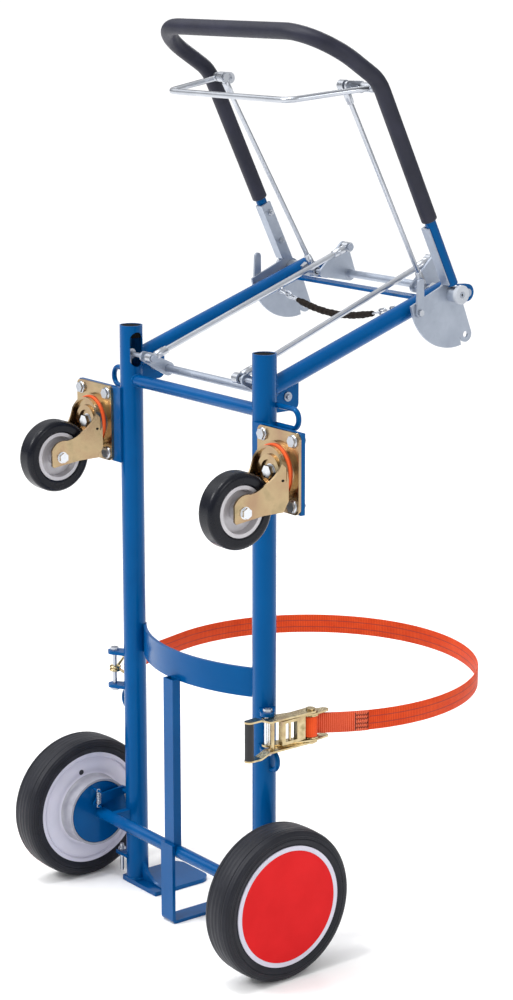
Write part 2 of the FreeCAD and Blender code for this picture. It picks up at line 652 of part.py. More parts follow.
def make_feet():
    """Toe plates that go under the load, each with a curved web up to its upright."""
    outer = v.upright_x + v.upright_r
    inner = outer - v.toe_width
    small = v.toe_edge
    back = -v.upright_r + small
    front = v.toe_reach - v.toe_corner
    toe = plate("toe", wrap((inner + small, back, small), (outer - small, back, small),
                            (outer - v.toe_corner, front, v.toe_corner),
                            (inner + v.toe_corner, front, v.toe_corner)), "toe_thick", "0", "XY")
    edge = v.upright_x - v.upright_r
    seat = plate("seat",
                 wrap((edge, back, small), (outer - small, back, small), (outer - small, -back, small),
                              (edge, -back, small)), "toe_seat", "toe_thick", "XY")
    top = v.toe_thick + v.web_rise
    hollow = (edge - (edge - inner) * 0.35, v.toe_thick + v.web_rise * 0.32)
    web = plate("web",
                profile((inner, v.toe_thick), (v.upright_x, v.toe_thick), (v.upright_x, top), (edge, top),
                               (*hollow, inner, v.toe_thick + v.web_lip)), "web_thick", "0 - web_thick / 2",
                               "XZ")
    pair("feet", join("foot", toe, seat, less("web_trim", web, RIGHT_BLANK)))


def make_cross_members():
    tube = rod("cross_outer", "cross_dia / 2", "upright_spacing", ("0 - upright_x", "0", "cross_level"),
               "x")
    bore = rod("cross_bore", "cross_dia / 2 - cross_wall", "upright_spacing",
               ("0 - upright_x", "0", "cross_level"),
               "x")
    node("cross_tube", less("cross", tube, bore, RIGHT_BLANK, LEFT_BLANK))
    ring = less("cradle_ring", rod("cradle_outer", "load_radius + cradle_thick", "cradle_height",
                                   ("0", "load_y", "cradle_level")),
                rod("cradle_inner", "load_radius", "cradle_height", ("0", "load_y", "cradle_level")))
    reach = "upright_x - upright_r / 2"
    window = block("cradle_window", (f"2 * ({reach})", "strut_face + 2 * upright_r", "cradle_height"),
                   (f"0 - ({reach})", "0 - strut_face - upright_r / 2", "cradle_level"))
    node("cradle_band", less("cradle", meet("cradle_part", ring, window), RIGHT_BLANK, LEFT_BLANK))


def make_strut_and_axle():
    """Rectangular strut from the cradle to the axle, and the flat bar below it that ends in a toe."""
    height = "cradle_level + strut_weld - wheel_r"
    back = "0 - strut_face - strut_depth"
    tube = block("strut_outer", ("strut_width", "strut_depth", height),
                 ("0 - strut_width / 2", back, "wheel_r"))
    bore = block("strut_bore", ("strut_width - 2 * strut_wall", "strut_depth - 2 * strut_wall", height),
                 ("strut_width / -2 + strut_wall", back + " + strut_wall", "wheel_r"))
    rear = -v.strut_face - v.strut_depth - v.heel_thick
    thick = v.heel_thick
    bend = 1.5 * thick
    small = bend - thick
    top = v.wheel_r + v.axle_dia / 2 + v.strut_weld
    turn = 1 - math.sqrt(0.5)
    heel = plate("heel", profile(
        (rear, top), (rear, bend), (rear + bend * turn, bend * turn, rear + bend, 0),
        (rear + v.heel_reach, 0),
        (rear + v.heel_reach, thick), (rear + bend, thick),
        (rear + thick + small * turn, thick + small * turn, rear + thick, bend), (rear + thick, top)),
        "heel_width", "0 - heel_width / 2")
    node("centre_strut", join("strut", less("strut_tube", tube, bore, AXLE_BLANK), heel))
    inner = "brake_x + brake_thick"
    beam = rod("axle_beam", "axle_dia / 2", f"2 * ({inner})",
               (f"0 - ({inner})", "0 - axle_back", "wheel_r"), "x")
    stub_end = "wheel_x + hub_out + stub_tip"
    stub = rod("axle_stub", "stub_dia / 2", f"2 * ({stub_end})",
               (f"0 - ({stub_end})", "0 - axle_back", "wheel_r"), "x")
    tab = less("axle_tab", block("axle_tab_bar", ("2 * web_thick", "axle_back", "axle_dia"),
                                 ("upright_x - web_thick", "0 - axle_back", "wheel_r - axle_dia / 2")),
                                 RIGHT_BLANK)
    node("axle", join("axle_whole", beam, stub, tab, mirror("axle_tab_left", tab)))


def make_arms():
    """Sloping tubes with a gusset at the root and a round-ended lug that carries the bell crank shaft."""
    bore = rod("arm_bore", "arm_dia / 2 - arm_wall", ARM_LENGTH, ("upright_x", "0", "arm_root"), "arm")
    tube = less("arm_tube", ARM_BLANK, bore)
    inside = v.arm_dia / 2 - v.arm_wall - v.lug_fit
    lug = plate("lug", wrap((*PIVOT, inside), (*HUB, v.lug_radius)), "lug_thick",
                "upright_x - lug_thick / 2")
    small = v.gusset_edge
    corner = v.gusset_corner
    rise = v.arm_root + v.gusset_reach * math.tan(math.radians(v.arm_angle))
    gusset = plate("gusset", wrap((small, v.gusset_foot + small, small),
                                  (v.gusset_reach - corner, v.gusset_foot + corner, corner),
                                  (v.gusset_reach - small, rise - small, small),
                                  (small, v.arm_root - small, small)),
                   "gusset_thick", "upright_x - gusset_thick / 2")
    hook_bar = block("chain_hook_bar", ("arm_dia / 2 + hook_reach", "hook_width", "hook_thick"),
                     ("upright_x - arm_dia / 2 - hook_reach", "chain_ahead - hook_width / 2",
                      CHAIN_HOLE.z - v.hook_thick / 2))
    hook_hole = rod("chain_hook_hole", "link_wire / 2 + link_play", "2 * link_wire",
                    (CHAIN_HOLE.x, "chain_ahead", CHAIN_HOLE.z - v.link_wire))
    hook = less("chain_hook", hook_bar, ARM_BLANK, hook_hole)
    holes = (rod("hub_hole", "shaft_dia / 2 + run_fit", "upright_dia", ("upright_x - upright_r", *HUB),
                 "x"),
             rod("crank_hole", "shaft_dia / 2 + run_fit", "upright_dia", ("upright_x - upright_r", *CRANK),
                 "x"),
             rod("pivot_hole", "pivot_dia / 2", "2 * upright_dia", ("upright_x - upright_dia", *PIVOT),
                 "x"))
    welded = join("arm_welded", tube, lug, less("gusset_trim", gusset, ARM_BLANK, RIGHT_BLANK), hook)
    arm = less("arm", welded, RIGHT_BLANK, *holes)
    both("arm", arm)
    level = v.arm_root + (v.pivot_reach - v.tie_back) * math.tan(math.radians(v.arm_angle))
    bar = block("tie_bar", ("upright_spacing", "tie_width", "tie_thick"),
                ("0 - upright_x", "pivot_reach - tie_back - tie_width / 2", level - v.tie_thick / 2))
    node("arm_cross_bar", less("tie", bar, ARM_BLANK, mirror("arm_blank_left", ARM_BLANK)))


def make_handle_pivots():
    """Pins through the arm ends, each with a spacer inside the quadrant plate and a cap outside."""
    start = "upright_x - arm_dia / 2 - pivot_head"
    outside = "sector_x + boss_run"
    pin = rod("pivot_shank", "pivot_dia / 2", f"{outside} + pivot_tip - ({start})", (start, *PIVOT), "x")
    spacer = less("pivot_spacer",
                  rod("pivot_spacer_bar", "boss_radius - spacer_step", "sector_x - side_gap - upright_x",
                                      ("upright_x", *PIVOT), "x"), ARM_BLANK)
    bolt_head = less("pivot_cap_screw",
                     hexagon("pivot_hex", "pivot_dia * 0.8", "pivot_head + arm_dia / 2", (start, *PIVOT),
                             "x"),
                     ARM_BLANK)
    whole = join("pivot_pin", pin, spacer, bolt_head)
    pair("pivot_pins", whole)
    wide = v.pivot_cap_radius
    thick = v.pivot_cap_thick
    edge = 0.2 * thick
    recess = 0.3 * wide
    disc = lathe("pivot_disc",
                 profile((0, 0), (0, wide), (thick - edge, wide), (thick, wide - edge),
                         (thick, recess + edge),
                                       (thick - edge, recess), (thick - edge, 0)),
                                       (f"{outside} + side_gap", *PIVOT))
    pair("pivot_caps", less("pivot_cap", disc, pin))


def make_handle():
    """One bent tube with a foam grip over everything above the leg feet."""
    def bow(start):
        foot = polar(PIVOT, v.leg_lean, start)
        right = [side_point(v.leg_x, point) for point in (foot, KNEE, GRIP_BAR)]
        left = [Vec(-point.x, point.y, point.z) for point in reversed(right)]
        return rounded_path(right + left, (v.knee_bend, v.corner_bend, v.corner_bend, v.knee_bend))

    whole = bow(v.leg_foot)
    outer = along("bow", whole, "leg_dia / 2")
    bore = along("bow_bore", whole, "leg_dia / 2 - leg_wall")
    drills = []
    for index, point in enumerate(leg_bolt_points() + [SQUEEZE]):
        drills.append(rod(f"leg_drill{index}", "leg_bolt_dia / 2", "2 * leg_x", ("0 - leg_x", *point), "x"))
    node("handle_tube", less("handle", outer, bore, *drills))
    foam = along("foam", bow(v.grip_start), "grip_dia / 2")
    node("foam_grip", less("grip", foam, outer, drills[-1]))


def leg_bolt_points():
    return [polar(PIVOT, v.leg_lean, v.strip_run * share) for share in (0.42, 0.86)]


def along_leg(start, behind, ahead):
    """Outline from a distance along the leg to the strip's end, so far behind and ahead of its axis."""
    low = polar(PIVOT, v.leg_lean, start)
    high = polar(PIVOT, v.leg_lean, v.strip_run)
    return polygon(polar(low, v.leg_lean + 90, behind), polar(low, v.leg_lean - 90, ahead),
                   polar(high, v.leg_lean - 90, ahead), polar(high, v.leg_lean + 90, behind))


def make_sectors():
    """Quadrant plate, its latch hole lug and the strip that is bolted to the leg."""
    rear = 180 + v.arm_angle - v.sector_lap
    front = rear + v.fold_angle
    free_hole = polar(PIVOT, 180 + v.arm_angle + v.fold_angle, v.detent_radius)
    corner = polar(PIVOT, rear, v.sector_radius)
    bottom = polar(PIVOT, (rear + front) / 2, v.sector_radius)
    nose = polar(PIVOT, front, v.sector_radius)
    shoulder = polar(PIVOT, v.leg_lean, v.boss_radius + v.sector_shoulder)
    pie = plate("sector_pie", profile(corner, (*bottom, *nose), PIVOT, shoulder), "sector_thick",
                "sector_x")
    lug = plate("sector_lug",
                wrap((*PIVOT, v.boss_radius + v.sector_rim), (*free_hole, 1.2 * v.detent_dia)),
                "sector_thick",
                "sector_x")
    half = v.strip_width / 2
    behind = v.leg_dia / 2
    strip = plate("sector_strip", along_leg(0, behind, half), "sector_thick", "sector_x")
    flange = plate("sector_flange", along_leg(v.flange_start, behind + v.flange_thick, -behind),
                   "sector_thick + leg_dia / 2 + flange_over", "sector_x")
    boss = rod("sector_boss", "boss_radius", "boss_run", ("sector_x", *PIVOT), "x")
    drills = [rod("sector_pivot", "pivot_dia / 2 + run_fit", "2 * leg_dia",
                  ("sector_x - leg_dia / 2", *PIVOT), "x"),
              rod("sector_detent", "detent_dia / 2", "leg_dia", ("sector_x - leg_dia / 2", *free_hole),
                  "x"),
              rod("sector_latch", "leg_bolt_dia / 2", "leg_dia", ("sector_x - leg_dia / 2", *LATCH), "x")]
    for index, point in enumerate(leg_bolt_points()):
        drills.append(rod(f"sector_drill{index}", "leg_bolt_dia / 2", "leg_dia",
                          ("sector_x - leg_dia / 2", *point), "x"))
    both("sector", less("sector", join("sector_blank", pie, lug, strip, flange, boss), *drills))


def make_latches():
    """Flat thumb levers that turn on a bolt at the rear corner of each quadrant plate."""
    top = (LATCH[0] + v.latch_lean, LATCH[1] + v.latch_run)
    face = "sector_x + sector_thick + side_gap"
    lever = plate("latch_bar", wrap((*LATCH, v.latch_root), (*top, v.latch_tip)), "latch_thick", face)
    hole = rod("latch_hole", "leg_bolt_dia / 2 + run_fit", "leg_dia", ("sector_x", *LATCH), "x")
    both("lock_lever", less("latch", lever, hole))


def make_handle_bolts():
    head = "leg_bolt_dia * 0.6"
    pieces = []
    for index, point in enumerate(leg_bolt_points()):
        pieces.append(leg_bolt(f"leg_bolt{index}", point, "sector_x", head))
    pieces.append(leg_bolt("squeeze_bolt", SQUEEZE, "crank_x - side_gap", head))
    end = "sector_x + sector_thick + 2 * side_gap + latch_thick"
    shank = rod("latch_shank", "leg_bolt_dia / 2", f"{end} - sector_x + 2 * {head}",
                (f"sector_x - {head}", *LATCH), "x")
    cap = hexagon("latch_cap", "leg_bolt_dia * 0.95", head, (f"sector_x - {head}", *LATCH), "x")
    nut = hexagon("latch_nut", "leg_bolt_dia * 0.95", head, (end, *LATCH), "x")
    pieces.append(join("latch_bolt", shank, cap, nut))
    pair("handle_bolts", group("handle_bolt_set", *pieces))


def leg_bolt(name, point, start, head):
    """A bolt along X out of the hollow of a leg, with a nut before its start and a thread past the nut."""
    tip = f"{start} - {head} - bolt_tip"
    shank = rod(name + "_shank", "leg_bolt_dia / 2", f"leg_x - ({tip})", (tip, *point), "x")
    nut = hexagon(name + "_nut", "leg_bolt_dia * 0.95", head, (f"{start} - {head}", *point), "x")
    return join(name, shank, nut)


def make_brake_bar():
    """U-shaped bar that turns on the legs; a crank at each side lifts a handle rod."""
    start = v.leg_x - v.grip_dia / 2 - v.bar_dia
    back = (SQUEEZE[0] - v.bar_back, SQUEEZE[1] - v.bar_drop)
    points = [side_point(start, SQUEEZE), side_point(v.bar_half, back), side_point(-v.bar_half, back),
              side_point(-start, SQUEEZE)]
    bar = along("squeeze_bar", rounded_path(points, (v.bar_bend, v.bar_bend)), "bar_dia / 2")
    sleeve = rod("squeeze_sleeve", "sleeve_dia / 2", "leg_x - grip_dia / 2 - side_gap - crank_x",
                 ("crank_x", *SQUEEZE), "x")
    crank = plate("squeeze_crank_plate", wrap((*SQUEEZE, v.squeeze_root), (*ROD_TOP, v.squeeze_tip)),
                  "bell_thick", "crank_x")
    stud = rod("squeeze_stud", "stud_dia / 2", "crank_x - rod_top_x + eye_width / 2 + side_gap",
               ("rod_top_x - eye_width / 2 - side_gap", *ROD_TOP), "x")
    cap = rod("squeeze_stud_cap", "stud_dia * 0.8", "stud_cap",
              ("rod_top_x - eye_width / 2 - side_gap - stud_cap", *ROD_TOP), "x")
    side = join("squeeze_side", sleeve, crank, stud, cap)
    bore = rod("squeeze_bore", "leg_bolt_dia / 2 + run_fit", "2 * leg_x", ("0 - leg_x", *SQUEEZE), "x")
    node("brake_bar",
         less("brake_bar", join("brake_bar_blank", bar, side, mirror("squeeze_side_left", side)), bore))


def link(stem, top, foot, dia):
    """A rod with an eye at each end: the top eye turns on its pin, the lower one has play."""
    bar = straight(stem + "_bar", top, foot, dia)
    way = (foot - top).normalize()
    ends = []
    for name, point, sign in (("top", top, 1), ("foot", foot, -1)):
        ends.append(rod(f"{stem}_{name}_eye", "eye_radius", "eye_width",
                        (point.x - v.eye_width / 2, point.y, point.z), "x"))
        ends.append(straight(f"{stem}_{name}_sleeve", point, point + way * (sign * v.socket_run),
                             f"{dia} + socket_wall"))
    wide = 2 * v.eye_width
    drills = (rod(stem + "_top_hole", "stud_dia / 2 + run_fit", f"{wide}", (top.x - wide / 2, top.y, top.z),
                  "x"),
              rod(stem + "_foot_hole", "stud_dia / 2 + pin_play", f"{wide}",
                  (foot.x - wide / 2, foot.y, foot.z), "x"))
    return less(stem, join(stem + "_blank", bar, *ends), *drills)


def make_links():
    both("handle_rod",
         link("handle_link", side_point(v.rod_top_x, ROD_TOP), side_point(v.rod_foot_x, PIVOT),
                            "handle_rod_dia / 2"))
    both("long_rod",
         link("long_link", side_point(v.long_top_x, BELL_TOP), side_point(v.long_foot_x, CRANK_PIN),
                          "long_rod_dia / 2"))
    pair("brake_rods",
         link("brake_link", side_point(v.upright_x, CRANK_PIN), side_point(v.upright_x, LEVER_PIN),
                            "brake_rod_dia / 2"))


def pin_with_cap(name, point, start, end, cap_at):
    """A stud along X with a retaining cap at one end."""
    shank = rod(name, "stud_dia / 2", f"{end} - ({start})", (start, *point), "x")
    cap = rod(name + "_cap", "stud_dia * 0.8", "stud_cap", (cap_at, *point), "x")
    return [shank, cap]


def make_bell_crank():
    """Shaft between the arm ends with a three-cornered plate near each side."""
    end = "upright_x + lug_thick / 2 + shaft_tip"
    shaft = rod("bell_shaft", "shaft_dia / 2", f"2 * ({end})", (f"0 - ({end})", *HUB), "x")
    corner = plate("bell_plate", wrap((*HUB, v.bell_root), (*BELL_TOP, v.bell_tip), (*PIVOT, v.bell_tip)),
                   "bell_thick", "bell_x - bell_thick / 2")
    top_end = "long_top_x - eye_width / 2 - side_gap"
    rear_end = "rod_foot_x + eye_width / 2 + side_gap"
    side = join("bell_side", corner,
                *pin_with_cap("bell_top_stud", BELL_TOP, top_end, "bell_x", top_end + " - stud_cap"),
                *pin_with_cap("bell_rear_stud", PIVOT, "bell_x", rear_end, rear_end))
    node("upper_bellcrank", join("bell_crank", shaft, side, mirror("bell_side_left", side)))


def make_lower_crank():
    """Shaft between the gussets with a crank at each side, whose pin reaches into the upright."""
    end = "upright_x + gusset_thick / 2 + side_gap"
    shaft = rod("crank_shaft", "shaft_dia / 2", f"2 * ({end})", (f"0 - ({end})", *CRANK), "x")
    screw = join("crank_screw",
                 rod("crank_washer", "0.55 * shaft_dia", "bell_thick / 3", (end, *CRANK), "x"),
                 hexagon("crank_head", "0.33 * shaft_dia", "bell_thick", (end, *CRANK), "x"))
    bar = plate("crank_bar", wrap((*CRANK, v.crank_root), (*CRANK_PIN, v.crank_tip)), "bell_thick",
                "crank_plate_x - bell_thick / 2")
    inner = "long_foot_x - eye_width / 2 - side_gap"
    pin = pin_with_cap("crank_pin", CRANK_PIN, inner, "upright_x + eye_width / 2 + side_gap",
                       inner + " - stud_cap")
    side = join("crank_side", screw, bar, *pin)
    node("lower_crank", join("crank", shaft, side, mirror("crank_side_left", side)))


def make_wheels():
    """Tyre, plastic wheel with its brake drum, and the flat cap over the outer side."""
    at = ("wheel_x", "0 - axle_back", "wheel_r")
    half = v.tyre_width / 2
    top = v.wheel_r
    seat = half - v.tyre_depth / 9
    side = v.rim_radius + 0.3 * v.tyre_depth
    shoulder = top - 0.45 * v.tyre_depth
    tread = half - 0.45 * v.tyre_depth
    line = v.groove
    ring = (side + shoulder) / 2
    corner = (half - 0.15 * v.tyre_depth, top - 0.13 * v.tyre_depth)
    tyre = lathe("tyre", profile(
        (-seat, v.rim_radius), (seat, v.rim_radius), (half, side),
        (half, ring - line), (half - line, ring), (half, ring + line), (half, shoulder),
        (*corner, tread, top - line), (tread - line, top - 2 * line), (tread - 2 * line, top - line),
        (0, top, 2 * line - tread, top - line), (line - tread, top - 2 * line), (-tread, top - line),
        (-corner[0], corner[1], -half, shoulder),
        (-half, ring + line), (line - half, ring), (-half, ring - line), (-half, side)), at)
    both("tyre", tyre)
    bore = v.stub_dia / 2 + v.run_fit
    drum_inside = v.drum_radius - v.drum_wall
    dish_in = v.dish_out - v.dish_thick
    lip = v.cap_radius + v.side_gap / 2
    seat_in = v.cap_radius - v.rim_edge
    wall_in = seat_in - v.cap_thick
    inner_edge = v.rim_radius - v.rim_edge
    step = v.rim_edge / 2
    root = v.hub_radius + 2 * line
    face = v.drum_radius + v.face_bend
    turn = (1 - math.sqrt(0.5)) * v.face_bend
    hub = lathe("hub", profile(
        (-v.hub_in, bore), (v.hub_out, bore), (v.hub_out, v.hub_radius), (v.dish_out, root),
        (v.dish_out, wall_in),
        (v.cap_out, seat_in), (v.cap_out, lip), (v.cap_out + v.cap_thick, lip),
        (v.cap_out + v.cap_thick, v.rim_radius), (-seat, v.rim_radius), (-seat, inner_edge),
        (step - seat, inner_edge - step), (-seat, (inner_edge - step + face) / 2, -seat, face),
        (-seat - turn, v.drum_radius + turn, -seat - v.face_bend, v.drum_radius),
        (-v.drum_in, v.drum_radius),
        (-v.drum_in, drum_inside), (dish_in, drum_inside), (dish_in, root), (-v.hub_in, v.hub_radius)), at)
    both("hub", hub)
    cap = rod("cap", "cap_radius", "cap_thick", ("wheel_x + cap_out", "0 - axle_back", "wheel_r"), "x")
    both("cap", cap)


def make_brakes():
    """Backing plate, two shoes, lever and return spring at each wheel."""
    disc = rod("brake_disc", "plate_radius", "brake_thick", ("brake_x", *AXLE), "x")
    peg_end = "brake_x - spring_side - 2 * spring_radius"
    peg = rod("spring_peg", "peg_dia / 2", f"brake_x - ({peg_end})", (peg_end, *SPRING_PEG), "x")
    shaft_hole = rod("lever_shaft_hole", "lever_shaft_dia / 2 + run_fit", "4 * brake_thick",
                     ("brake_x - brake_thick", *LEVER_SHAFT),
                     "x")
    pair("brake_plates", less("brake_plate", join("brake_disc_peg", disc, peg), AXLE_BLANK, shaft_hole))
    outer = "drum_radius - drum_wall - shoe_gap"
    start = ("brake_x + brake_thick", *AXLE)
    ring = less("shoe_ring", rod("shoe_outer", outer, "shoe_width", start, "x"),
                rod("shoe_inner", f"{outer} - shoe_thick", "shoe_width", start, "x"))
    split = block("shoe_gap_bar", ("shoe_width", "shoe_split", "wheel_dia"),
                  ("brake_x + brake_thick", "0 - axle_back - shoe_split / 2", "0"))
    pair("brake_shoes", less("shoes", ring, split))
    face = "brake_x - lever_gap - lever_thick"
    bar = plate("lever_bar",
                wrap((*LEVER_TAIL, v.peg_dia + v.lever_rim), (*LEVER_PIN, v.lever_tip),
                     (*LEVER_SHAFT, v.lever_root)), "lever_thick", face)
    shaft = rod("lever_shaft", "lever_shaft_dia / 2",
                "lever_gap + lever_thick + brake_thick + lever_shaft_tip", (face, *LEVER_SHAFT), "x")
    pin = rod("lever_pin", "stud_dia / 2", f"{face} - upright_x + eye_width / 2 + side_gap",
              ("upright_x - eye_width / 2 - side_gap", *LEVER_PIN), "x")
    tail = rod("lever_tail", "peg_dia / 2", f"{face} - ({peg_end})", (peg_end, *LEVER_TAIL), "x")
    both("brake_lever", join("lever", bar, shaft, pin, tail))
    pair("brake_springs", coil_spring())


def coil_spring():
    """A wound spring between two pegs: every half turn of the helix is a pair of arcs."""
    def place(turns):
        angle = 2 * math.pi * turns
        return Vec(v.spring_radius * math.cos(angle), v.spring_radius * math.sin(angle),
                   v.spring_pitch * turns)

    def heading(turns):
        angle = 2 * math.pi * turns
        rise = v.spring_pitch / (2 * math.pi * v.spring_radius)
        return Vec(-math.sin(angle), math.cos(angle), rise).normalize()

    edges = []
    halves = round(2 * v.spring_turns)
    for index in range(halves):
        edges += arc_pair(place(index / 2), heading(index / 2), place((index + 1) / 2),
                          heading((index + 1) / 2))
    wire = Part.Wire(edges)
    ring = Part.Wire(Part.Circle(place(0), heading(0), v.spring_wire / 2).toShape())
    spring = doc.addObject("Part::Feature", "spring")
    spring.Shape = wire.makePipeShell([ring], True, False)
    spring.Placement = FreeCAD.Placement(Vec(v.brake_x - v.spring_side, LEVER_TAIL[0], SPRING_LOW),
                                         FreeCAD.Rotation())
    steps = 24
    points = [place(index / steps) for index in range(round(steps * v.spring_turns))]
    spans = [one.distanceToPoint(two) for index,
             one in enumerate(points) for two in points[index + steps // 2:]]
    print("least gap of the spring to itself:", round(min(spans) - v.spring_wire, 3))
    return spring


def arc_pair(start, start_way, end, end_way):
    """Two arcs that leave one point and reach another in the given directions."""
    between = end - start
    ways = start_way + end_way
    # The arms of both arcs are as long as each other; this is the root of their quadratic.
    square = 2 * (1 - start_way.dot(end_way))
    linear = between.dot(ways)
    reach = (math.sqrt(linear * linear + square * between.dot(between)) - linear) / square
    first = start + start_way * reach
    second = end - end_way * reach
    meet = (first + second) * 0.5
    return [corner_arc(start, first, meet), corner_arc(meet, second, end)]


def corner_arc(start, corner, end):
    """The arc that touches both sides of a corner with arms of one length."""
    chord = (start + end) * 0.5
    out = corner - chord
    half = (end - start).Length / 2
    lean = math.atan2(out.Length, half)
    return Part.Arc(start, chord + out.normalize() * (half * math.tan(lean / 2)), end).toShape()


def castor_bolt_spots():
    return [(f"castor_x {across} bolt_across / 2",
             f"castor_level {up} bolt_up / 2") for across in "+-" for up in "+-"]


def castor_bolt_holes(name):
    return [rod(f"{name}_bolt_hole{index}", "bolt_dia / 2", "2 * swivel_y", (x, "-2 * swivel_y", z), "y")
            for index, (x, z) in enumerate(castor_bolt_spots())]


def make_castors():
    """Swivel castors that carry the trolley when it is tipped back."""
    mount = block("mount_bar",
                  ("castor_x + castor_plate_wide / 2 - upright_x", "mount_thick", "castor_plate_tall"),
                  ("upright_x", "0 - mount_face", "castor_level - castor_plate_tall / 2"))
    pair("castor_mounts", less("mount", mount, RIGHT_BLANK, *castor_bolt_holes("mount")))
    corner = v.castor_corner
    wide = v.castor_plate_wide / 2 - corner
    tall = v.castor_plate_tall / 2 - corner
    spots = [(v.castor_x + across * wide, v.castor_level + up * tall, corner)
             for across, up in ((-1, -1), (1, -1), (1, 1), (-1, 1))]
    base = plate("castor_base", wrap(*spots), "castor_plate_thick", "mount_face", "XZ")
    race = rod("castor_race", "race_radius", "race_depth",
               ("castor_x", "0 - swivel_y - race_depth", "castor_level"), "y")
    nut_face = "0 - crown_y - fork_thick - side_gap - king_nut"
    pin = rod("king_pin", "king_dia / 2", f"0 - swivel_y - ({nut_face})",
              ("castor_x", nut_face, "castor_level"), "y")
    nut = hexagon("king_hex", "king_dia * 0.8", "king_nut", ("castor_x", nut_face, "castor_level"), "y")
    pair("castor_plates",
         less("castor_plate", join("castor_plate_blank", base, race, pin, nut),
              *castor_bolt_holes("plate")))
    seal_at = ("castor_x", "0 - swivel_y - race_depth - seal_depth", "castor_level")
    seal = less("seal", rod("seal_outer", "seal_radius", "seal_depth", seal_at, "y"),
                rod("seal_inner", "seal_radius * 0.7", "seal_depth", seal_at, "y"))
    pair("castor_seals", seal)
    both("castor_fork", castor_fork())
    make_castor_wheels()


def fork_hood(name, inset, front):
    """Round-topped space that narrows from the crown to the legs; the inset one is open below the other."""
    half = v.crown_radius - inset
    legs = v.fork_gap / 2 + v.fork_thick - inset
    waist = (v.crown_y + v.castor_axle_y) / 2
    tail = v.castor_axle_y + v.castor_dia / 2
    low = v.castor_axle_z - v.crown_radius - inset
    right = [(v.castor_x + half, -front), (v.castor_x + legs, -waist), (v.castor_x + legs, -tail)]
    left = [(2 * v.castor_x - x, y) for x, y in reversed(right)]
    plan = plate(name + "_plan", polygon(*right, *left), "castor_level", f"{low}", "XY")
    arch = rod(name + "_arch", f"{half}", f"{tail}", ("castor_x", -tail, "castor_level"), "y")
    sides = block(name + "_sides", (f"{2 * half}", f"{tail}", f"castor_level - {low}"),
                  (f"castor_x - {half}", -tail, low))
    return meet(name, plan, join(name + "_round", arch, sides))


def castor_fork():
    """Round crown whose rim runs on into two legs, cut to one curved outline from the side."""
    root = v.crown_y + v.fork_thick
    axle_y, axle_z = -v.castor_axle_y, v.castor_axle_z
    outside = fork_hood("fork_outside", 0, v.crown_y)
    inside = fork_hood("fork_inside", v.fork_thick, root)
    end = 2.1 * v.castor_axle_dia
    deep = 1.6 * v.castor_axle_dia
    rise = 2.8 * v.castor_axle_dia
    high = v.castor_level + v.crown_radius
    low = v.castor_level - v.crown_radius
    outline = profile(
        (-v.crown_y, high), (-root - v.fork_thick, high),
        (-root - 3 * v.fork_thick, v.castor_level + 0.15 * v.crown_radius, axle_y + end / 2, axle_z + rise),
        (axle_y - 0.7 * end, axle_z + 0.8 * rise, axle_y - end, axle_z + rise / 2),
        (axle_y - end, axle_z - deep + v.fork_corner),
        (axle_y - end + v.fork_corner, axle_z - deep), (-root - v.fork_thick, axle_z - 0.4 * deep),
        (-v.crown_y, low))
    slab = plate("fork_slab", outline, "2 * crown_radius", "castor_x - crown_radius")
    legs = meet("fork_legs", less("fork_shell", outside, inside), slab)
    crown = rod("fork_crown", "crown_radius", "fork_thick",
                ("castor_x", "0 - crown_y - fork_thick", "castor_level"), "y")
    step = rod("fork_step", "2 * king_dia", "2 * fork_thick",
               ("castor_x", "0 - crown_y - 2 * fork_thick", "castor_level"), "y")
    recess = rod("fork_recess", "1.4 * king_dia", "king_nut",
                 ("castor_x", f"{-root} - king_nut", "castor_level"), "y")
    outer = "fork_gap / 2 + fork_thick"
    head = "castor_axle_dia * 0.6"
    axle = (axle_y, axle_z)
    bolt = rod("castor_axle", "castor_axle_dia / 2", f"2 * ({outer})", (f"castor_x - ({outer})", *axle),
               "x")
    heads = [hexagon("castor_axle_head", "castor_axle_dia * 0.9", head, (f"castor_x + {outer}", *axle),
                     "x"),
             hexagon("castor_axle_nut", "castor_axle_dia * 0.9", head,
                     (f"castor_x - ({outer}) - {head}", *axle), "x")]
    hole = rod("king_hole", "king_dia / 2 + run_fit", "2 * crown_y",
               ("castor_x", "-2 * crown_y", "castor_level"), "y")
    return less("fork",
                join("fork_blank", less("fork_cup", join("fork_cup_blank", legs, crown, step), recess),
                     bolt, *heads),
                hole)


def make_castor_wheels():
    at = ("castor_x", "0 - castor_axle_y", "castor_axle_z")
    half = v.castor_width / 2
    seat = half - v.castor_lip
    top = v.castor_dia / 2
    turn = v.castor_shoulder
    inset = turn * (1 - math.sqrt(0.5))
    flank = v.castor_rim + v.castor_flank
    tyre = profile((-seat, v.castor_rim), (seat, v.castor_rim), (half, flank), (half, top - turn),
                   (half - inset, top - inset, half - turn, top), (turn - half, top),
                   (inset - half, top - inset, -half, top - turn), (-half, flank))
    both("castor_tyre", lathe("castor_tread", tyre, at))
    bore = v.castor_axle_dia / 2 + v.run_fit
    hub = v.fork_gap / 2 - v.side_gap
    web = v.castor_web
    root = v.castor_hub + v.castor_draft
    bead = v.castor_rim - v.castor_bead
    dish = bead - v.castor_bevel
    rim = profile((-hub, bore), (hub, bore), (hub, v.castor_hub), (web, root), (web, dish), (seat, bead),
                  (seat, v.castor_rim), (-seat, v.castor_rim), (-seat, bead), (-web, dish), (-web, root),
                  (-hub, v.castor_hub))
    both("castor_rim", lathe("castor_wheel", rim, at))


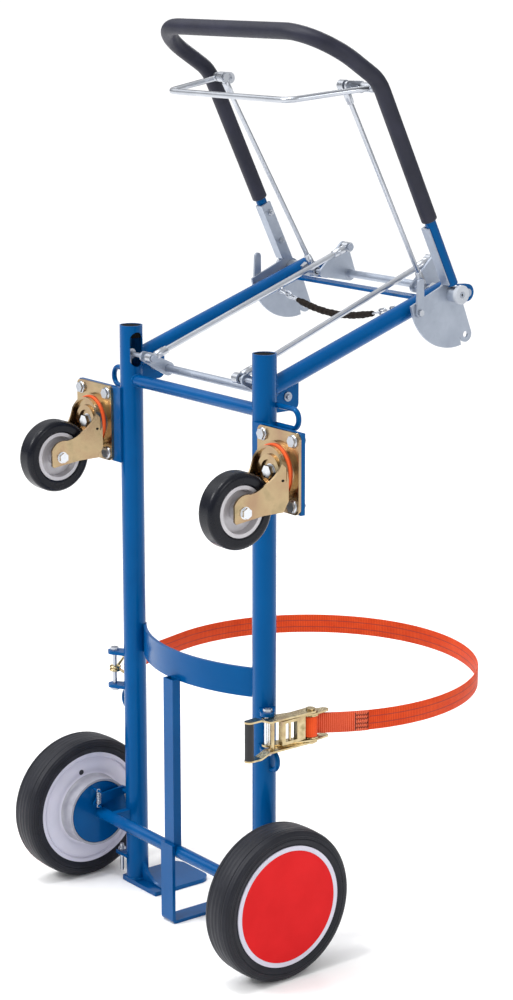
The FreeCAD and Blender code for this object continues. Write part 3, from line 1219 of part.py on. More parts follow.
def make_strap_anchors():
    """Ears for the strap bolts and the bent eyes above and below them."""
    ears = []
    for name, level in (("ear_high", "strap_level + ear_spacing / 2"),
                        ("ear_low", "strap_level - ear_spacing / 2 - ear_thick")):
        outline = wrap((v.upright_x + v.upright_r * 0.6, -v.ear_lead, v.ear_root), (*STRAP_BOLT, v.ear_tip))
        bar = plate(name + "_bar", outline, "ear_thick", level, "XY")
        hole = rod(name + "_hole", "strap_bolt_dia / 2", "4 * ear_thick",
                   ("strap_bolt_x", "0 - ear_back", f"{level} - ear_thick"))
        ears.append(less(name, bar, RIGHT_BLANK, hole))
    pair("strap_ears", group("ears", *ears))
    eyes = []
    for name, level, out, ahead in (("eye_high", v.upper_eye_level, v.upper_eye_out, v.upper_eye_ahead),
                                    ("eye_low", v.lower_eye_level, v.lower_eye_out, 0)):
        near = v.upright_x + v.upright_r / 4
        far = v.upright_x + out
        points = [Vec(near, ahead, level + v.eye_bend), Vec(far, ahead, level + v.eye_bend),
                  Vec(far, ahead, level - v.eye_bend), Vec(near, ahead, level - v.eye_bend)]
        bend = 0.95 * v.eye_bend
        eyes.append(less(name, along(name + "_bar", rounded_path(points, (bend, bend)), "eye_wire / 2"),
                         RIGHT_BLANK))
    pair("lashing_eyes", group("eyes", *eyes))


STRAP_LAYER = v.strap_thick + v.strap_lift
# The strap's middle line on the outermost turn of the roll, and on the load.
ROLL = v.spindle_dia / 2 + v.strap_lift + v.strap_thick / 2 + STRAP_LAYER
LOOP = v.load_radius + v.strap_lift + v.strap_thick / 2


def spindle_spot():
    """The spot at a given distance from the strap bolt whose roll just clears the strap on the load."""
    reach = LOOP + ROLL + v.strap_thick + v.spindle_clear
    across = STRAP_BOLT[0]
    up = STRAP_BOLT[1] - v.load_y
    span = math.hypot(across, up)
    corner = math.acos((span ** 2 + reach ** 2 - v.spindle_run ** 2) / (2 * span * reach))
    return polar((0, v.load_y), math.degrees(math.atan2(up, across) + corner), reach)


SPINDLE = spindle_spot()
BOLT_WAY = math.degrees(math.atan2(STRAP_BOLT[1] - SPINDLE[1], STRAP_BOLT[0] - SPINDLE[0]))
LEVER_WAY = BOLT_WAY + v.ratchet_lean
LEVER_GRIP = polar(SPINDLE, LEVER_WAY, v.ratchet_lever_run)


def two_levels(name, edges, thick, near):
    """The same flat plate above and below the strap, its near faces at one distance from the middle."""
    return [plate(name + "_high", edges, thick, f"strap_level + {near}", "XY"),
            plate(name + "_low", edges, thick, f"strap_level - ({near}) - ({thick})", "XY")]


def upright_pin(name, radius, reach, spot):
    """A round bar along Z with its middle at the strap's level."""
    return rod(name, radius, f"2 * ({reach})", (spot[0], spot[1], f"strap_level - ({reach})"))


def make_ratchet():
    """Ratchet tensioner that hangs on the right strap bolt."""
    nose = (SPINDLE[0] + v.nose_side, SPINDLE[1] + v.ratchet_nose)
    outline = wrap((*STRAP_BOLT, v.ratchet_heel), (*SPINDLE, v.ratchet_cheek), (*nose, v.ratchet_toe))
    sides = two_levels("ratchet_side", outline, "ratchet_thick", "ratchet_gap / 2")
    frame_out = "ratchet_gap / 2 + ratchet_thick"
    bush = upright_pin("ratchet_bush", "strap_bolt_dia / 2 + bush_wall", "ear_spacing / 2", STRAP_BOLT)
    bores = [upright_pin("ratchet_bolt_bore", "strap_bolt_dia / 2", "ear_spacing", STRAP_BOLT),
             upright_pin("ratchet_spindle_bore", "spindle_dia / 2 + run_fit", "ear_spacing", SPINDLE)]
    node("ratchet_frame", less("ratchet_body", join("ratchet_blank", *sides, bush), *bores))

    lever_near = f"{frame_out} + side_gap"
    lever_out = f"{lever_near} + ratchet_thick"
    outline = wrap((*SPINDLE, v.lever_cheek), (*LEVER_GRIP, v.lever_end))
    arms = [lever_arm("ratchet_arm_high", outline, 1), lever_arm("ratchet_arm_low", outline, -1)]
    cross = upright_pin("ratchet_cross", "lever_tie", lever_out,
                        polar(SPINDLE, LEVER_WAY, 0.62 * v.ratchet_lever_run))
    lever_bore = upright_pin("ratchet_lever_bore", "spindle_dia / 2 + run_fit", "ear_spacing", SPINDLE)
    node("ratchet_lever", less("ratchet_lever_body", join("ratchet_lever_blank", *arms, cross), lever_bore))
    node("ratchet_grip",
         upright_pin("ratchet_handle", "ratchet_grip_dia / 2", f"{lever_near} + lever_flare", LEVER_GRIP))

    tip = v.ratchet_tooth + v.side_gap
    half = v.pawl_half
    near = polar(SPINDLE, LEVER_WAY, tip)
    far = polar(SPINDLE, LEVER_WAY, tip + v.pawl_run)
    sideways = LEVER_WAY + 90
    outline = polygon(polar(near, sideways, -half), polar(far, sideways, -half), polar(far, sideways, half),
                      polar(near, sideways, half))
    slide = plate("pawl_slide", outline, "ratchet_gap - 2 * side_gap",
                  "strap_level - ratchet_gap / 2 + side_gap", "XY")
    window_at = polar(SPINDLE, LEVER_WAY, tip + 0.6 * v.pawl_run)
    window = block("pawl_window", ("pawl_run", "pawl_run / 2", "0.75 * ratchet_gap"),
                   (f"{window_at[0]} - pawl_run / 2", f"{window_at[1]} - pawl_run / 4",
                    "strap_level - 0.375 * ratchet_gap"))
    spring_pin = upright_pin("pawl_spring_pin", "pawl_pin", "0.4 * ratchet_gap", window_at)
    node("ratchet_pawl", join("pawl", less("pawl_frame", slide, window), spring_pin))

    shaft = upright_pin("spindle_bar", "spindle_dia / 2", lever_out + " + ratchet_thick", SPINDLE)
    cut = block("spindle_slot", ("2 * spindle_dia", "1.5 * strap_thick", "strap_width"),
                (f"{SPINDLE[0]} - spindle_dia", f"{SPINDLE[1]} - 0.75 * strap_thick",
                 "strap_level - strap_width / 2"))
    step = 360 / v.ratchet_teeth
    outline = []
    for index in range(round(v.ratchet_teeth)):
        outline += [polar(SPINDLE, index * step, v.ratchet_tooth),
                    polar(SPINDLE, (index + 0.2) * step, 0.82 * v.ratchet_tooth)]
    wheel_thick = "ratchet_gap / 2 - strap_width / 2 - 2 * side_gap"
    wheels = two_levels("ratchet_wheel", polygon(*outline), wheel_thick, "strap_width / 2 + side_gap")
    node("ratchet_spindle", join("spindle", less("spindle_shaft", shaft, cut), *wheels))


def lever_arm(name, outline, side):
    """A flat arm of the ratchet lever that steps outward before the grip; side is 1 above the strap."""
    near = v.ratchet_gap / 2 + v.ratchet_thick + v.side_gap
    step = near + v.lever_flare
    thick = v.ratchet_thick
    x, y = SPINDLE
    reach = 2 * v.ratchet_tooth
    end = LEVER_GRIP[1] - reach
    points = ((y + reach, near), (y - v.flare_start, near), (y - v.flare_end, step), (end, step),
              (end, step + thick),
              (y - v.flare_end, step + thick), (y - v.flare_start, near + thick), (y + reach, near + thick))
    strip = plate(name + "_strip",
                  polygon(*[(along_y, v.strap_level + side * up) for along_y, up in points]),
                  "ratchet_lever_run", f"{x} - ratchet_lever_run / 2")
    tall = plate(name + "_outline", outline, "2 * ear_spacing", "strap_level - ear_spacing", "XY")
    return meet(name, strip, tall)


def ribbon(runs):
    """Outline of a flat strip seen on edge, along arcs (centre, radius, from, to) and lines between them."""
    half = v.strap_thick / 2
    sides = []
    for shift in (half, -half):
        edges = []
        ends = []
        for centre, radius, start, end in runs:
            wide = radius + (shift if end > start else -shift)
            first, middle, last = [Vec(*centre, 0) + Vec(math.cos(angle), math.sin(angle), 0) * wide
                                   for angle in (start, (start + end) / 2, end)]
            if ends and first.distanceToPoint(ends[-1]) > 1e-6:
                edges.append(Part.LineSegment(ends[-1], first))
            edges.append(Part.Arc(first, middle, last))
            ends += [first, last]
        sides.append((edges, ends[0], ends[-1]))
    (outer, outer_begin, outer_finish), (inner, begin, finish) = sides
    return outer + inner + [Part.LineSegment(begin, outer_begin), Part.LineSegment(finish, outer_finish)]


def make_strap():
    """Webbing wound on the ratchet spindle, round the load and back to a wire hook on the left bolt."""
    load = (0, v.load_y, LOOP)
    leave = belt_angle((*SPINDLE, -ROLL), load)
    halves = 3
    runs = []
    centre = SPINDLE
    radius = ROLL
    angle = leave + math.pi
    for _ in range(halves):
        runs.insert(0, (centre, radius, angle + math.pi, angle))
        angle += math.pi
        centre = (centre[0] + STRAP_LAYER / 2 * math.cos(angle),
                  centre[1] + STRAP_LAYER / 2 * math.sin(angle))
        radius -= STRAP_LAYER / 2
    bolt = (-STRAP_BOLT[0], STRAP_BOLT[1])
    loop = v.hook_wire / 2 + v.strap_lift + v.strap_thick / 2
    arrive = belt_angle(load, (*bolt, loop))
    way = arrive + math.pi / 2
    bar = (bolt[0] - v.hook_back * math.cos(way), bolt[1] - v.hook_back * math.sin(way))
    arrive = belt_angle(load, (*bar, loop))
    leave += 2 * math.pi * math.floor((arrive - leave) / (2 * math.pi))
    runs.append(((0, v.load_y), LOOP, leave, arrive))
    runs.append((bar, loop, arrive, arrive + 1.2 * math.pi))
    node("strap", plate("webbing", ribbon(runs), "strap_width", "strap_level - strap_width / 2", "XY"))
    make_strap_hook(bolt, bar)


def make_strap_hook(bolt, bar):
    """Bent wire: two rings round the bolt, two legs and the bar that the strap turns round."""
    ring = v.strap_bolt_dia / 2 + v.hook_wire / 2 + v.hook_play
    way = Vec(bar[0] - bolt[0], bar[1] - bolt[1], 0).normalize()
    centre = Vec(*bolt, v.strap_level) + way * v.hook_pull
    high = Vec(0, 0, v.strap_width / 2 + v.hook_wire / 2 + v.hook_spread)
    low = high * -1
    bar_spot = Vec(*bar, v.strap_level)
    pieces = [straight("hook_bar", bar_spot + low, bar_spot + high, "hook_wire / 2")]
    for name, end, side in (("high", high, 1), ("low", low, -1)):
        level = Vec(0, 0, side * 0.55 * v.hook_wire)
        loop = bind(doc.addObject("Part::Torus", f"hook_ring_{name}"), Radius2="hook_wire / 2")
        loop.Radius1 = ring
        loop.Placement = FreeCAD.Placement(centre + level, FreeCAD.Rotation())
        knee = bind(doc.addObject("Part::Sphere", f"hook_knee_{name}"), Radius="hook_wire / 2")
        knee.Placement = FreeCAD.Placement(bar_spot + end, FreeCAD.Rotation())
        pieces += [loop, knee,
                   straight(f"hook_leg_{name}", bar_spot + end, centre + level + way * ring,
                            "hook_wire / 2")]
    node("strap_hook", join("hook", *pieces))


def chain_link(name, centre, turn):
    """A stadium-shaped link round a centre; its long side lies along its own X axis."""
    half = v.link_run / 2
    pieces = []
    for side, start in ((1, -90), (-1, 90)):
        end = bind(doc.addObject("Part::Torus", f"{name}_end{start}"), Radius1="link_bend",
                   Radius2="link_wire / 2")
        end.Angle3 = 180
        end.Placement = FreeCAD.Placement(Vec(side * half, 0, 0), FreeCAD.Rotation(Vec(0, 0, 1), start))
        pieces += [end,
                   straight(f"{name}_side{start}", Vec(-half, side * v.link_bend, 0),
                            Vec(half, side * v.link_bend, 0),
                                 "link_wire / 2")]
    whole = join(name, *pieces)
    whole.Placement = FreeCAD.Placement(centre, turn)
    return whole


def make_chain():
    """Short chain ends on the arm hooks, with a fabric sleeve that sags between them."""
    slope = math.radians(v.chain_slope)
    way = Vec(-math.cos(slope), 0, -math.sin(slope))
    half = v.link_run / 2 + v.link_bend
    pitch = 2 * half - v.link_wire - v.strap_lift
    count = round(v.links_a_side)
    links = []
    for index in range(count):
        flat = FreeCAD.Rotation(Vec(1, 0, 0), 0 if index % 2 else 90)
        lean = FreeCAD.Rotation(Vec(0, 1, 0), -v.chain_slope)
        links.append(chain_link(f"link{index}", CHAIN_HOLE + way * (half + index * pitch),
                                lean.multiply(flat)))
    pair("chain_links", group("link_set", *links))
    end = CHAIN_HOLE + way * (2 * half + (count - 1) * pitch + v.link_wire / 2 + v.strap_lift)
    sag = end.x * math.tan(slope) / 2
    shares = (-1, -0.68, -0.34, 0, 0.34, 0.68, 1)
    points = [Vec(share * end.x, end.y, end.z - sag * (1 - share * share)) for share in shares]
    bends = []
    for before, corner, after in zip(points, points[1:], points[2:]):
        turn = (corner - before).getAngle(after - corner)
        run = min((corner - before).Length, (after - corner).Length)
        bends.append(0.45 * run / math.tan(turn / 2))
    print("bend radii of the chain sleeve:", [round(bend) for bend in bends])
    node("chain_sleeve", along("chain_cover", rounded_path(points, bends), "chain_sleeve_dia / 2"))


def make_frame_bolts():
    """Castor bolts, strap bolt, axle nut and stop rod of the right side, and their twins."""
    pieces = []
    head = "0.6 * bolt_dia"
    for index, (x, z) in enumerate(castor_bolt_spots()):
        start = f"0 - swivel_y - {head}"
        nut = "mount_thick - mount_face"
        shank = rod(f"castor_shank{index}", "bolt_dia / 2", f"{nut} + {head} + bolt_end - ({start})",
                    (x, start, z), "y")
        pieces.append(join(f"castor_bolt{index}", shank,
                           hexagon(f"castor_head{index}", "0.95 * bolt_dia", head, (x, start, z), "y"),
                           hexagon(f"castor_nut{index}", "0.95 * bolt_dia", head, (x, nut, z), "y")))
    ear_out = "ear_spacing / 2 + ear_thick"
    cap = "0.7 * strap_bolt_dia"
    pieces.append(join("strap_bolt",
                       upright_pin("strap_shank", "strap_bolt_dia / 2",
                                   f"{ear_out} + {cap} + strap_bolt_end", STRAP_BOLT),
                       hexagon("strap_head", "0.95 * strap_bolt_dia", cap,
                               (*STRAP_BOLT, f"strap_level + {ear_out}")),
                       hexagon("strap_nut", "0.95 * strap_bolt_dia", cap,
                               (*STRAP_BOLT, f"strap_level - ({ear_out}) - {cap}"))))
    nut_at = ("wheel_x + hub_out + side_gap", *AXLE)
    pieces.append(less("axle_nut", hexagon("axle_hex", "nut_dia / 2", "nut_thick", nut_at, "x"),
                       rod("axle_nut_bore", "stub_dia / 2", "2 * nut_thick", nut_at, "x")))
    spot = ("upright_x + upright_r + stop_out", "0 - stop_back")
    pieces.append(join("stop_rod",
                       rod("stop_shank", "stop_dia / 2", "stop_run",
                           (*spot, "stop_level - 0.7 * stop_run")),
                       hexagon("stop_nut", "0.95 * stop_dia", "0.8 * stop_dia",
                               (*spot, "stop_level + web_thick / 2")),
                       hexagon("stop_lock", "0.95 * stop_dia", "0.8 * stop_dia",
                               (*spot, "stop_level - web_thick / 2 - 0.8 * stop_dia"))))
    pair("frame_bolts", group("frame_bolt_set", *pieces))


make_uprights()
make_feet()
make_cross_members()
make_strut_and_axle()
make_arms()
make_handle_pivots()
make_handle()
make_sectors()
make_latches()
make_handle_bolts()
make_brake_bar()
make_links()
make_bell_crank()
make_lower_crank()
make_wheels()
make_brakes()
make_castors()
make_strap_anchors()
make_ratchet()
make_strap()
make_chain()
make_frame_bolts()
doc.recompute()

for thing in doc.Objects:
    if "Invalid" in thing.State or "Error" in thing.State:
        raise RuntimeError(f"{thing.Name} failed: {thing.State}")
for thing in NODES:
    if thing.Shape.isNull() or not thing.Shape.isValid():
        raise RuntimeError(f"{thing.Label} has no valid shape")

os.makedirs("parts", exist_ok=True)
for thing in NODES:
    thing.Shape.exportStep(f"parts/{thing.Label}.step")
print(len(NODES), "pieces written")
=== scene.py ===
"""Looks of a drum trolley with a folding brake handle, dressed round its fixed frame.

Metres, +X to the right, +Y forward over the toe plates, +Z up.
"""

import json
import math

import bmesh
import bpy
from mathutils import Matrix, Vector


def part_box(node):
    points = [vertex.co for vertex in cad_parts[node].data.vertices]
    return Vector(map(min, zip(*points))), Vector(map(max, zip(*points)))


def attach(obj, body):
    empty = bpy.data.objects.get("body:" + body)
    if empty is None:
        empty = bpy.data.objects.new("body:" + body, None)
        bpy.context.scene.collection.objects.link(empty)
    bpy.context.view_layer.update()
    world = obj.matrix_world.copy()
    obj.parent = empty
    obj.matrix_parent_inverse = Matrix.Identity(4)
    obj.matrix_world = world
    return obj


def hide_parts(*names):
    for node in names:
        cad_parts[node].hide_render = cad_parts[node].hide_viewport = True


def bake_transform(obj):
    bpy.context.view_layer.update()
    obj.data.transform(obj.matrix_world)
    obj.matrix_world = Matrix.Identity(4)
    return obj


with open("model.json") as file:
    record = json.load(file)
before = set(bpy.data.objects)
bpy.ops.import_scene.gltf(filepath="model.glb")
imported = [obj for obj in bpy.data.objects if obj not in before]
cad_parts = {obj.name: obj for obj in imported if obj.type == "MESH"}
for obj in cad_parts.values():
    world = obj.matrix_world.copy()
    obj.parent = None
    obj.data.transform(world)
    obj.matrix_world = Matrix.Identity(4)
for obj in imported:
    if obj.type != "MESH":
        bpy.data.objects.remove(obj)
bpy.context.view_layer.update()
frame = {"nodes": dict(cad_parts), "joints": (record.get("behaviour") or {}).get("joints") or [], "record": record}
NODES = frame["nodes"]
JOINTS = {joint["name"]: joint for joint in frame["joints"]}
MM = 0.001


def joint_at(name):
    return Vector(JOINTS[name]["pos_m"])


# Places that the frame gives.
PIVOT = joint_at("handle_fold")
SQUEEZE = joint_at("brake_squeeze")
AXLE = joint_at("wheel_right_roll")
SPINDLE = joint_at("ratchet_lever_swing")
CASTOR_AXLE = joint_at("castor_right_roll")
CASTOR_SWIVEL = joint_at("castor_right_swivel")
SIDES = (("right", 1), ("left", -1))

# Sizes that repeat those of the solids.
STRAP_BOLT = Vector((222, -20, 398)) * MM
STRAP_CENTRE = Vector((0, 252.99, 398)) * MM
STRAP_WIDTH = 35 * MM
STRAP_THICK = 2.4 * MM

# Along the strap: the end of its roll and the end of the lap on it. Along the lap: its sewn patch.
ROLL_END = 100 * MM
LAP_END = 200 * MM
SEWN_PATCH = (67 * MM, 91 * MM)

# Sockets of a mix node that mixes colours.
MIX_FACTOR, MIX_ONE, MIX_TWO, MIX_RESULT = 0, 6, 7, 2


class Finish:
    """A procedural material: one shader and shorthands for the nodes that feed it."""

    def __init__(self, name, sockets):
        self.material = bpy.data.materials.new(name)
        self.material.use_nodes = True
        self.nodes = self.material.node_tree.nodes
        self.links = self.material.node_tree.links
        self.shader = self.nodes["Principled BSDF"]
        for socket, value in sockets.items():
            self.shader.inputs[socket].default_value = value

    def add(self, kind, **settings):
        made = self.nodes.new("ShaderNode" + kind)
        for name, value in settings.items():
            setattr(made, name, value)
        return made

    def feed(self, source, socket):
        """Give a socket a plain number, a colour or another node's output."""
        if isinstance(source, bpy.types.NodeSocket):
            self.links.new(source, socket)
        else:
            socket.default_value = source

    def place(self):
        """Where a point lies when the part is at rest."""
        return self.add("TexCoord").outputs["Object"]

    def strip(self):
        """The strip map of a swept piece."""
        return self.add("TexCoord").outputs["UV"]

    def apart(self, vector):
        """The three numbers of a vector."""
        split = self.add("SeparateXYZ")
        self.feed(vector, split.inputs[0])
        return split.outputs["X"], split.outputs["Y"], split.outputs["Z"]

    def sums(self, operation, one, two=0.0, three=0.0):
        """One step of arithmetic."""
        node = self.add("Math", operation=operation)
        for value, socket in zip((one, two, three), node.inputs):
            self.feed(value, socket)
        return node.outputs[0]

    def off_axis(self, one, two, centre):
        """Distance from a line, seen along it, where it passes through a centre."""
        first = self.sums("SUBTRACT", one, centre[0])
        second = self.sums("SUBTRACT", two, centre[1])
        squares = self.sums("ADD", self.sums("MULTIPLY", first, first),
                            self.sums("MULTIPLY", second, second))
        return self.sums("SQRT", squares)

    def within(self, one, two, centre, radius):
        """Mask of a round shape, seen along its axis."""
        return self.sums("LESS_THAN", self.off_axis(one, two, centre), radius)

    def waves(self, run, pitch):
        return self.sums("SINE", self.sums("MULTIPLY", run, 2 * math.pi / pitch))

    def noise(self, scale, detail):
        texture = self.add("TexNoise")
        self.feed(self.place(), texture.inputs["Vector"])
        texture.inputs["Scale"].default_value = scale
        texture.inputs["Detail"].default_value = detail
        return texture.outputs[0]

    def cells(self, scale):
        texture = self.add("TexVoronoi")
        self.feed(self.place(), texture.inputs["Vector"])
        texture.inputs["Scale"].default_value = scale
        return texture.outputs["Color"]

    def ramp(self, factor, *stops):
        """Colours between stops, each a share of the factor's range and a colour."""
        node = self.add("ValToRGB")
        self.feed(factor, node.inputs["Fac"])
        elements = node.color_ramp.elements
        for element, (place, colour) in zip(elements, stops):
            element.position = place
            element.color = (*colour, 1)
        for place, colour in stops[len(elements):]:
            elements.new(place).color = (*colour, 1)
        return node.outputs["Color"]

    def tinted(self, factor, dark, light, light_at=0.7, dark_at=0.3):
        return self.ramp(factor, (dark_at, dark), (light_at, light))

    def mottled(self, scale, detail, dark, light, light_at=0.7):
        """A colour that drifts between two tints over the surface."""
        return self.tinted(self.noise(scale, detail), dark, light, light_at)

    def spread(self, factor, low, high):
        """Map 0..1, and no further, to a span of numbers."""
        node = self.add("MapRange")
        self.feed(factor, node.inputs["Value"])
        node.inputs["To Min"].default_value = low
        node.inputs["To Max"].default_value = high
        return node.outputs["Result"]

    def mix(self, factor, one, two):
        node = self.add("Mix", data_type="RGBA")
        self.feed(factor, node.inputs[MIX_FACTOR])
        for value, socket in ((one, node.inputs[MIX_ONE]), (two, node.inputs[MIX_TWO])):
            self.feed((*value, 1) if isinstance(value, tuple) else value, socket)
        return node.outputs[MIX_RESULT]

    def colour(self, source):
        self.feed(source, self.shader.inputs["Base Color"])

    def roughness(self, scale, detail, low, high):
        """Roughness that drifts between two values over the surface."""
        drift = self.spread(self.noise(scale, detail), low, high)
        self.feed(drift, self.shader.inputs["Roughness"])

    def bump(self, height, depth):
        node = self.add("Bump")
        self.feed(height, node.inputs["Height"])
        node.inputs["Distance"].default_value = depth
        node.inputs["Strength"].default_value = 1.0
        self.links.new(node.outputs["Normal"], self.shader.inputs["Normal"])

    def grain(self, scale, detail, depth):
        self.bump(self.noise(scale, detail), depth)


def blue_paint():
    """Gloss powder coat: a slight orange peel and barely uneven colour."""
    finish = Finish("blue_paint", {"Coat Weight": 0.07, "Coat Roughness": 0.04,
                                   "Specular IOR Level": 0.35,
                                   "Specular Tint": (0.06, 0.45, 0.95, 1)})
    finish.colour(finish.mottled(9, 3, (0.0, 0.060, 0.208), (0.0, 0.072, 0.240)))
    finish.roughness(60, 2, 0.16, 0.26)
    finish.grain(420, 1, 0.04 * MM)
    return finish.material


def bright_zinc():
    """Bright plated bar, a little uneven."""
    finish = Finish("bright_zinc", {"Metallic": 1.0})
    finish.colour(finish.mottled(18, 3, (0.45, 0.475, 0.52), (0.54, 0.565, 0.61)))
    finish.roughness(60, 2, 0.26, 0.36)
    finish.grain(500, 1, 0.002 * MM)
    return finish.material


def grey_zinc():
    """Satin zinc plate on sheet metal, with a faint cloudy bloom."""
    finish = Finish("grey_zinc", {"Metallic": 0.75})
    bloom = finish.mix(0.12, finish.noise(26, 5), finish.cells(150))
    finish.colour(finish.tinted(bloom, (0.33, 0.37, 0.445), (0.41, 0.455, 0.53)))
    finish.roughness(120, 4, 0.34, 0.50)
    finish.grain(700, 2, 0.015 * MM)
    return finish.material


# Tints that yellow passivated zinc drifts through, and where in the noise they lie.
ROSE = ((0.37, 0.235, 0.150), (0.42, 0.295, 0.175), (0.46, 0.345, 0.200), (0.31, 0.250, 0.140))
STRAW = ((0.36, 0.250, 0.170), (0.46, 0.355, 0.190), (0.58, 0.475, 0.285), (0.26, 0.215, 0.100))
TINTS_AT = (0.28, 0.44, 0.58, 0.74)
WHITE_PLATING = (0.70, 0.72, 0.75)
# Near black: painted shade in holes.
HOLE_SHADE = (0.01, 0.01, 0.01)


def yellow_zinc(name, tints, grain, silver=None, holes=None):
    """Yellow passivated zinc; masks pick out white plated bolts, and holes that get painted shade."""
    finish = Finish(name, {"Metallic": 1.0})
    plating = finish.ramp(finish.noise(grain, 4), *zip(TINTS_AT, tints))
    if silver is not None:
        plating = finish.mix(silver(finish), plating, WHITE_PLATING)
    # Painted shade: holes are coloured near black.
    if holes is not None:
        plating = finish.mix(holes(finish), plating, HOLE_SHADE)
    finish.colour(plating)
    finish.roughness(150, 4, 0.16, 0.30)
    finish.grain(600, 2, 0.025 * MM)
    return finish.material


def off_castor(finish, side):
    """Distance from the middle plane of a castor's fork."""
    return finish.sums("ABSOLUTE", finish.sums("SUBTRACT", side, CASTOR_AXLE.x))


def fork_bolts(finish):
    """Mask of the castor's axle bolt, outside the fork, and its king nut."""
    bolt_radius, nut_radius, fork_half = 10 * MM, 12.5 * MM, 26.2 * MM
    x, y, z = finish.apart(finish.place())
    side = finish.sums("ABSOLUTE", x)
    outside = finish.sums("GREATER_THAN", off_castor(finish, side), fork_half)
    at_axle = finish.within(y, z, CASTOR_AXLE.yz, bolt_radius)
    king = finish.within(side, z, CASTOR_SWIVEL.xz, nut_radius)
    return finish.sums("MAXIMUM", finish.sums("MULTIPLY", at_axle, outside), king)


def fork_holes(finish):
    """Mask of the small hole in each leg of a castor's fork, where shade is painted."""
    centre, radius, legs_from = (-49.8 * MM, 837.8 * MM), 2.2 * MM, 20 * MM
    x, y, z = finish.apart(finish.place())
    leg = off_castor(finish, finish.sums("ABSOLUTE", x))
    near = finish.within(y, z, centre, radius)
    return finish.sums("MULTIPLY", near, finish.sums("GREATER_THAN", leg, legs_from))


def ratchet_bush(finish):
    """Mask of the bush on the strap bolt."""
    radius = 6.5 * MM
    x, y, _ = finish.apart(finish.place())
    return finish.within(x, y, STRAP_BOLT.xy, radius)


def grey_iron():
    """Rough cast iron."""
    finish = Finish("grey_iron", {"Metallic": 0.6})
    finish.colour(finish.mottled(300, 4, (0.22, 0.22, 0.24), (0.34, 0.34, 0.36)))
    finish.roughness(200, 2, 0.5, 0.7)
    finish.grain(800, 3, 0.1 * MM)
    return finish.material


def rim_metal():
    """Pale grey wheel disc with a soft sheen."""
    finish = Finish("rim_metal", {"Metallic": 0.2})
    finish.colour(finish.mottled(40, 4, (0.50, 0.485, 0.51), (0.60, 0.585, 0.61)))
    finish.roughness(180, 3, 0.30, 0.44)
    finish.grain(700, 2, 0.015 * MM)
    return finish.material


def castor_rubber():
    """Glossy black rubber."""
    finish = Finish("castor_rubber", {"Specular IOR Level": 0.22})
    finish.colour(finish.mottled(30, 4, (0.004, 0.005, 0.009), (0.007, 0.008, 0.013), 0.75))
    finish.roughness(90, 4, 0.20, 0.32)
    finish.grain(1100, 2, 0.02 * MM)
    return finish.material


def tyre_rubber():
    """Dull black rubber with fine rings moulded into the shoulders and the tread."""
    shoulder_from, shoulder_pitch = 116 * MM, 3.4 * MM
    tread_from, tread_pitch = 127 * MM, 9 * MM
    grain_share = 0.15
    finish = Finish("tyre_rubber", {"Specular IOR Level": 0.25})
    x, y, z = finish.apart(finish.place())
    radius = finish.off_axis(y, z, AXLE.yz)
    shoulder = finish.sums("GREATER_THAN", radius, shoulder_from)
    rings = finish.sums("MULTIPLY", finish.waves(radius, shoulder_pitch), shoulder)
    tread = finish.sums("GREATER_THAN", radius, tread_from)
    grooves = finish.sums("MULTIPLY", finish.waves(x, tread_pitch), tread)
    moulding = finish.sums("ADD", rings, grooves)
    finish.colour(finish.mottled(30, 4, (0.008, 0.009, 0.014), (0.015, 0.016, 0.023), 0.75))
    finish.roughness(90, 4, 0.42, 0.58)
    height = finish.sums("MULTIPLY_ADD", finish.noise(1100, 2), grain_share, moulding)
    finish.bump(height, 0.22 * MM)
    return finish.material


def wheel_plastic():
    """Pale moulded wheel with a small hole in its disc, painted near black as shade, and a bare grey brake drum in
    its middle.
    """
    drum_radius, hole_at, hole_radius = 65 * MM, (-70.2 * MM, 200.8 * MM), 5 * MM
    finish = Finish("wheel_plastic", {"Subsurface Weight": 0.08,
                                      "Subsurface Radius": (0.004, 0.004, 0.005)})
    _, y, z = finish.apart(finish.place())
    plastic = finish.mottled(14, 3, (0.56, 0.56, 0.66), (0.66, 0.64, 0.74))
    metal = finish.mottled(60, 4, (0.30, 0.30, 0.35), (0.40, 0.40, 0.45))
    wheel = finish.mix(finish.within(y, z, AXLE.yz, drum_radius), plastic, metal)
    hole = finish.within(y, z, hole_at, hole_radius)
    # Painted shade: the hole in the disc is coloured near black.
    finish.colour(finish.mix(hole, wheel, (0.015, 0.015, 0.02)))
    finish.roughness(80, 2, 0.32, 0.46)
    finish.grain(500, 1, 0.03 * MM)
    return finish.material


def moulded(name, dark, light, rough=(0.35, 0.5), grain=700, shine=0.4):
    """A plain moulded plastic with a fine grain."""
    finish = Finish(name, {"Specular IOR Level": shine})
    finish.colour(finish.mottled(18, 3, dark, light))
    finish.roughness(70, 3, *rough)
    finish.grain(grain, 2, 0.04 * MM)
    return finish.material


def grip_foam():
    """Closed-cell foam: matte, with fine pores."""
    finish = Finish("grip_foam", {"Specular IOR Level": 0.32})
    finish.colour(finish.mottled(26, 4, (0.009, 0.010, 0.021), (0.016, 0.017, 0.034)))
    finish.roughness(140, 3, 0.40, 0.55)
    finish.grain(1400, 3, 0.12 * MM)
    return finish.material


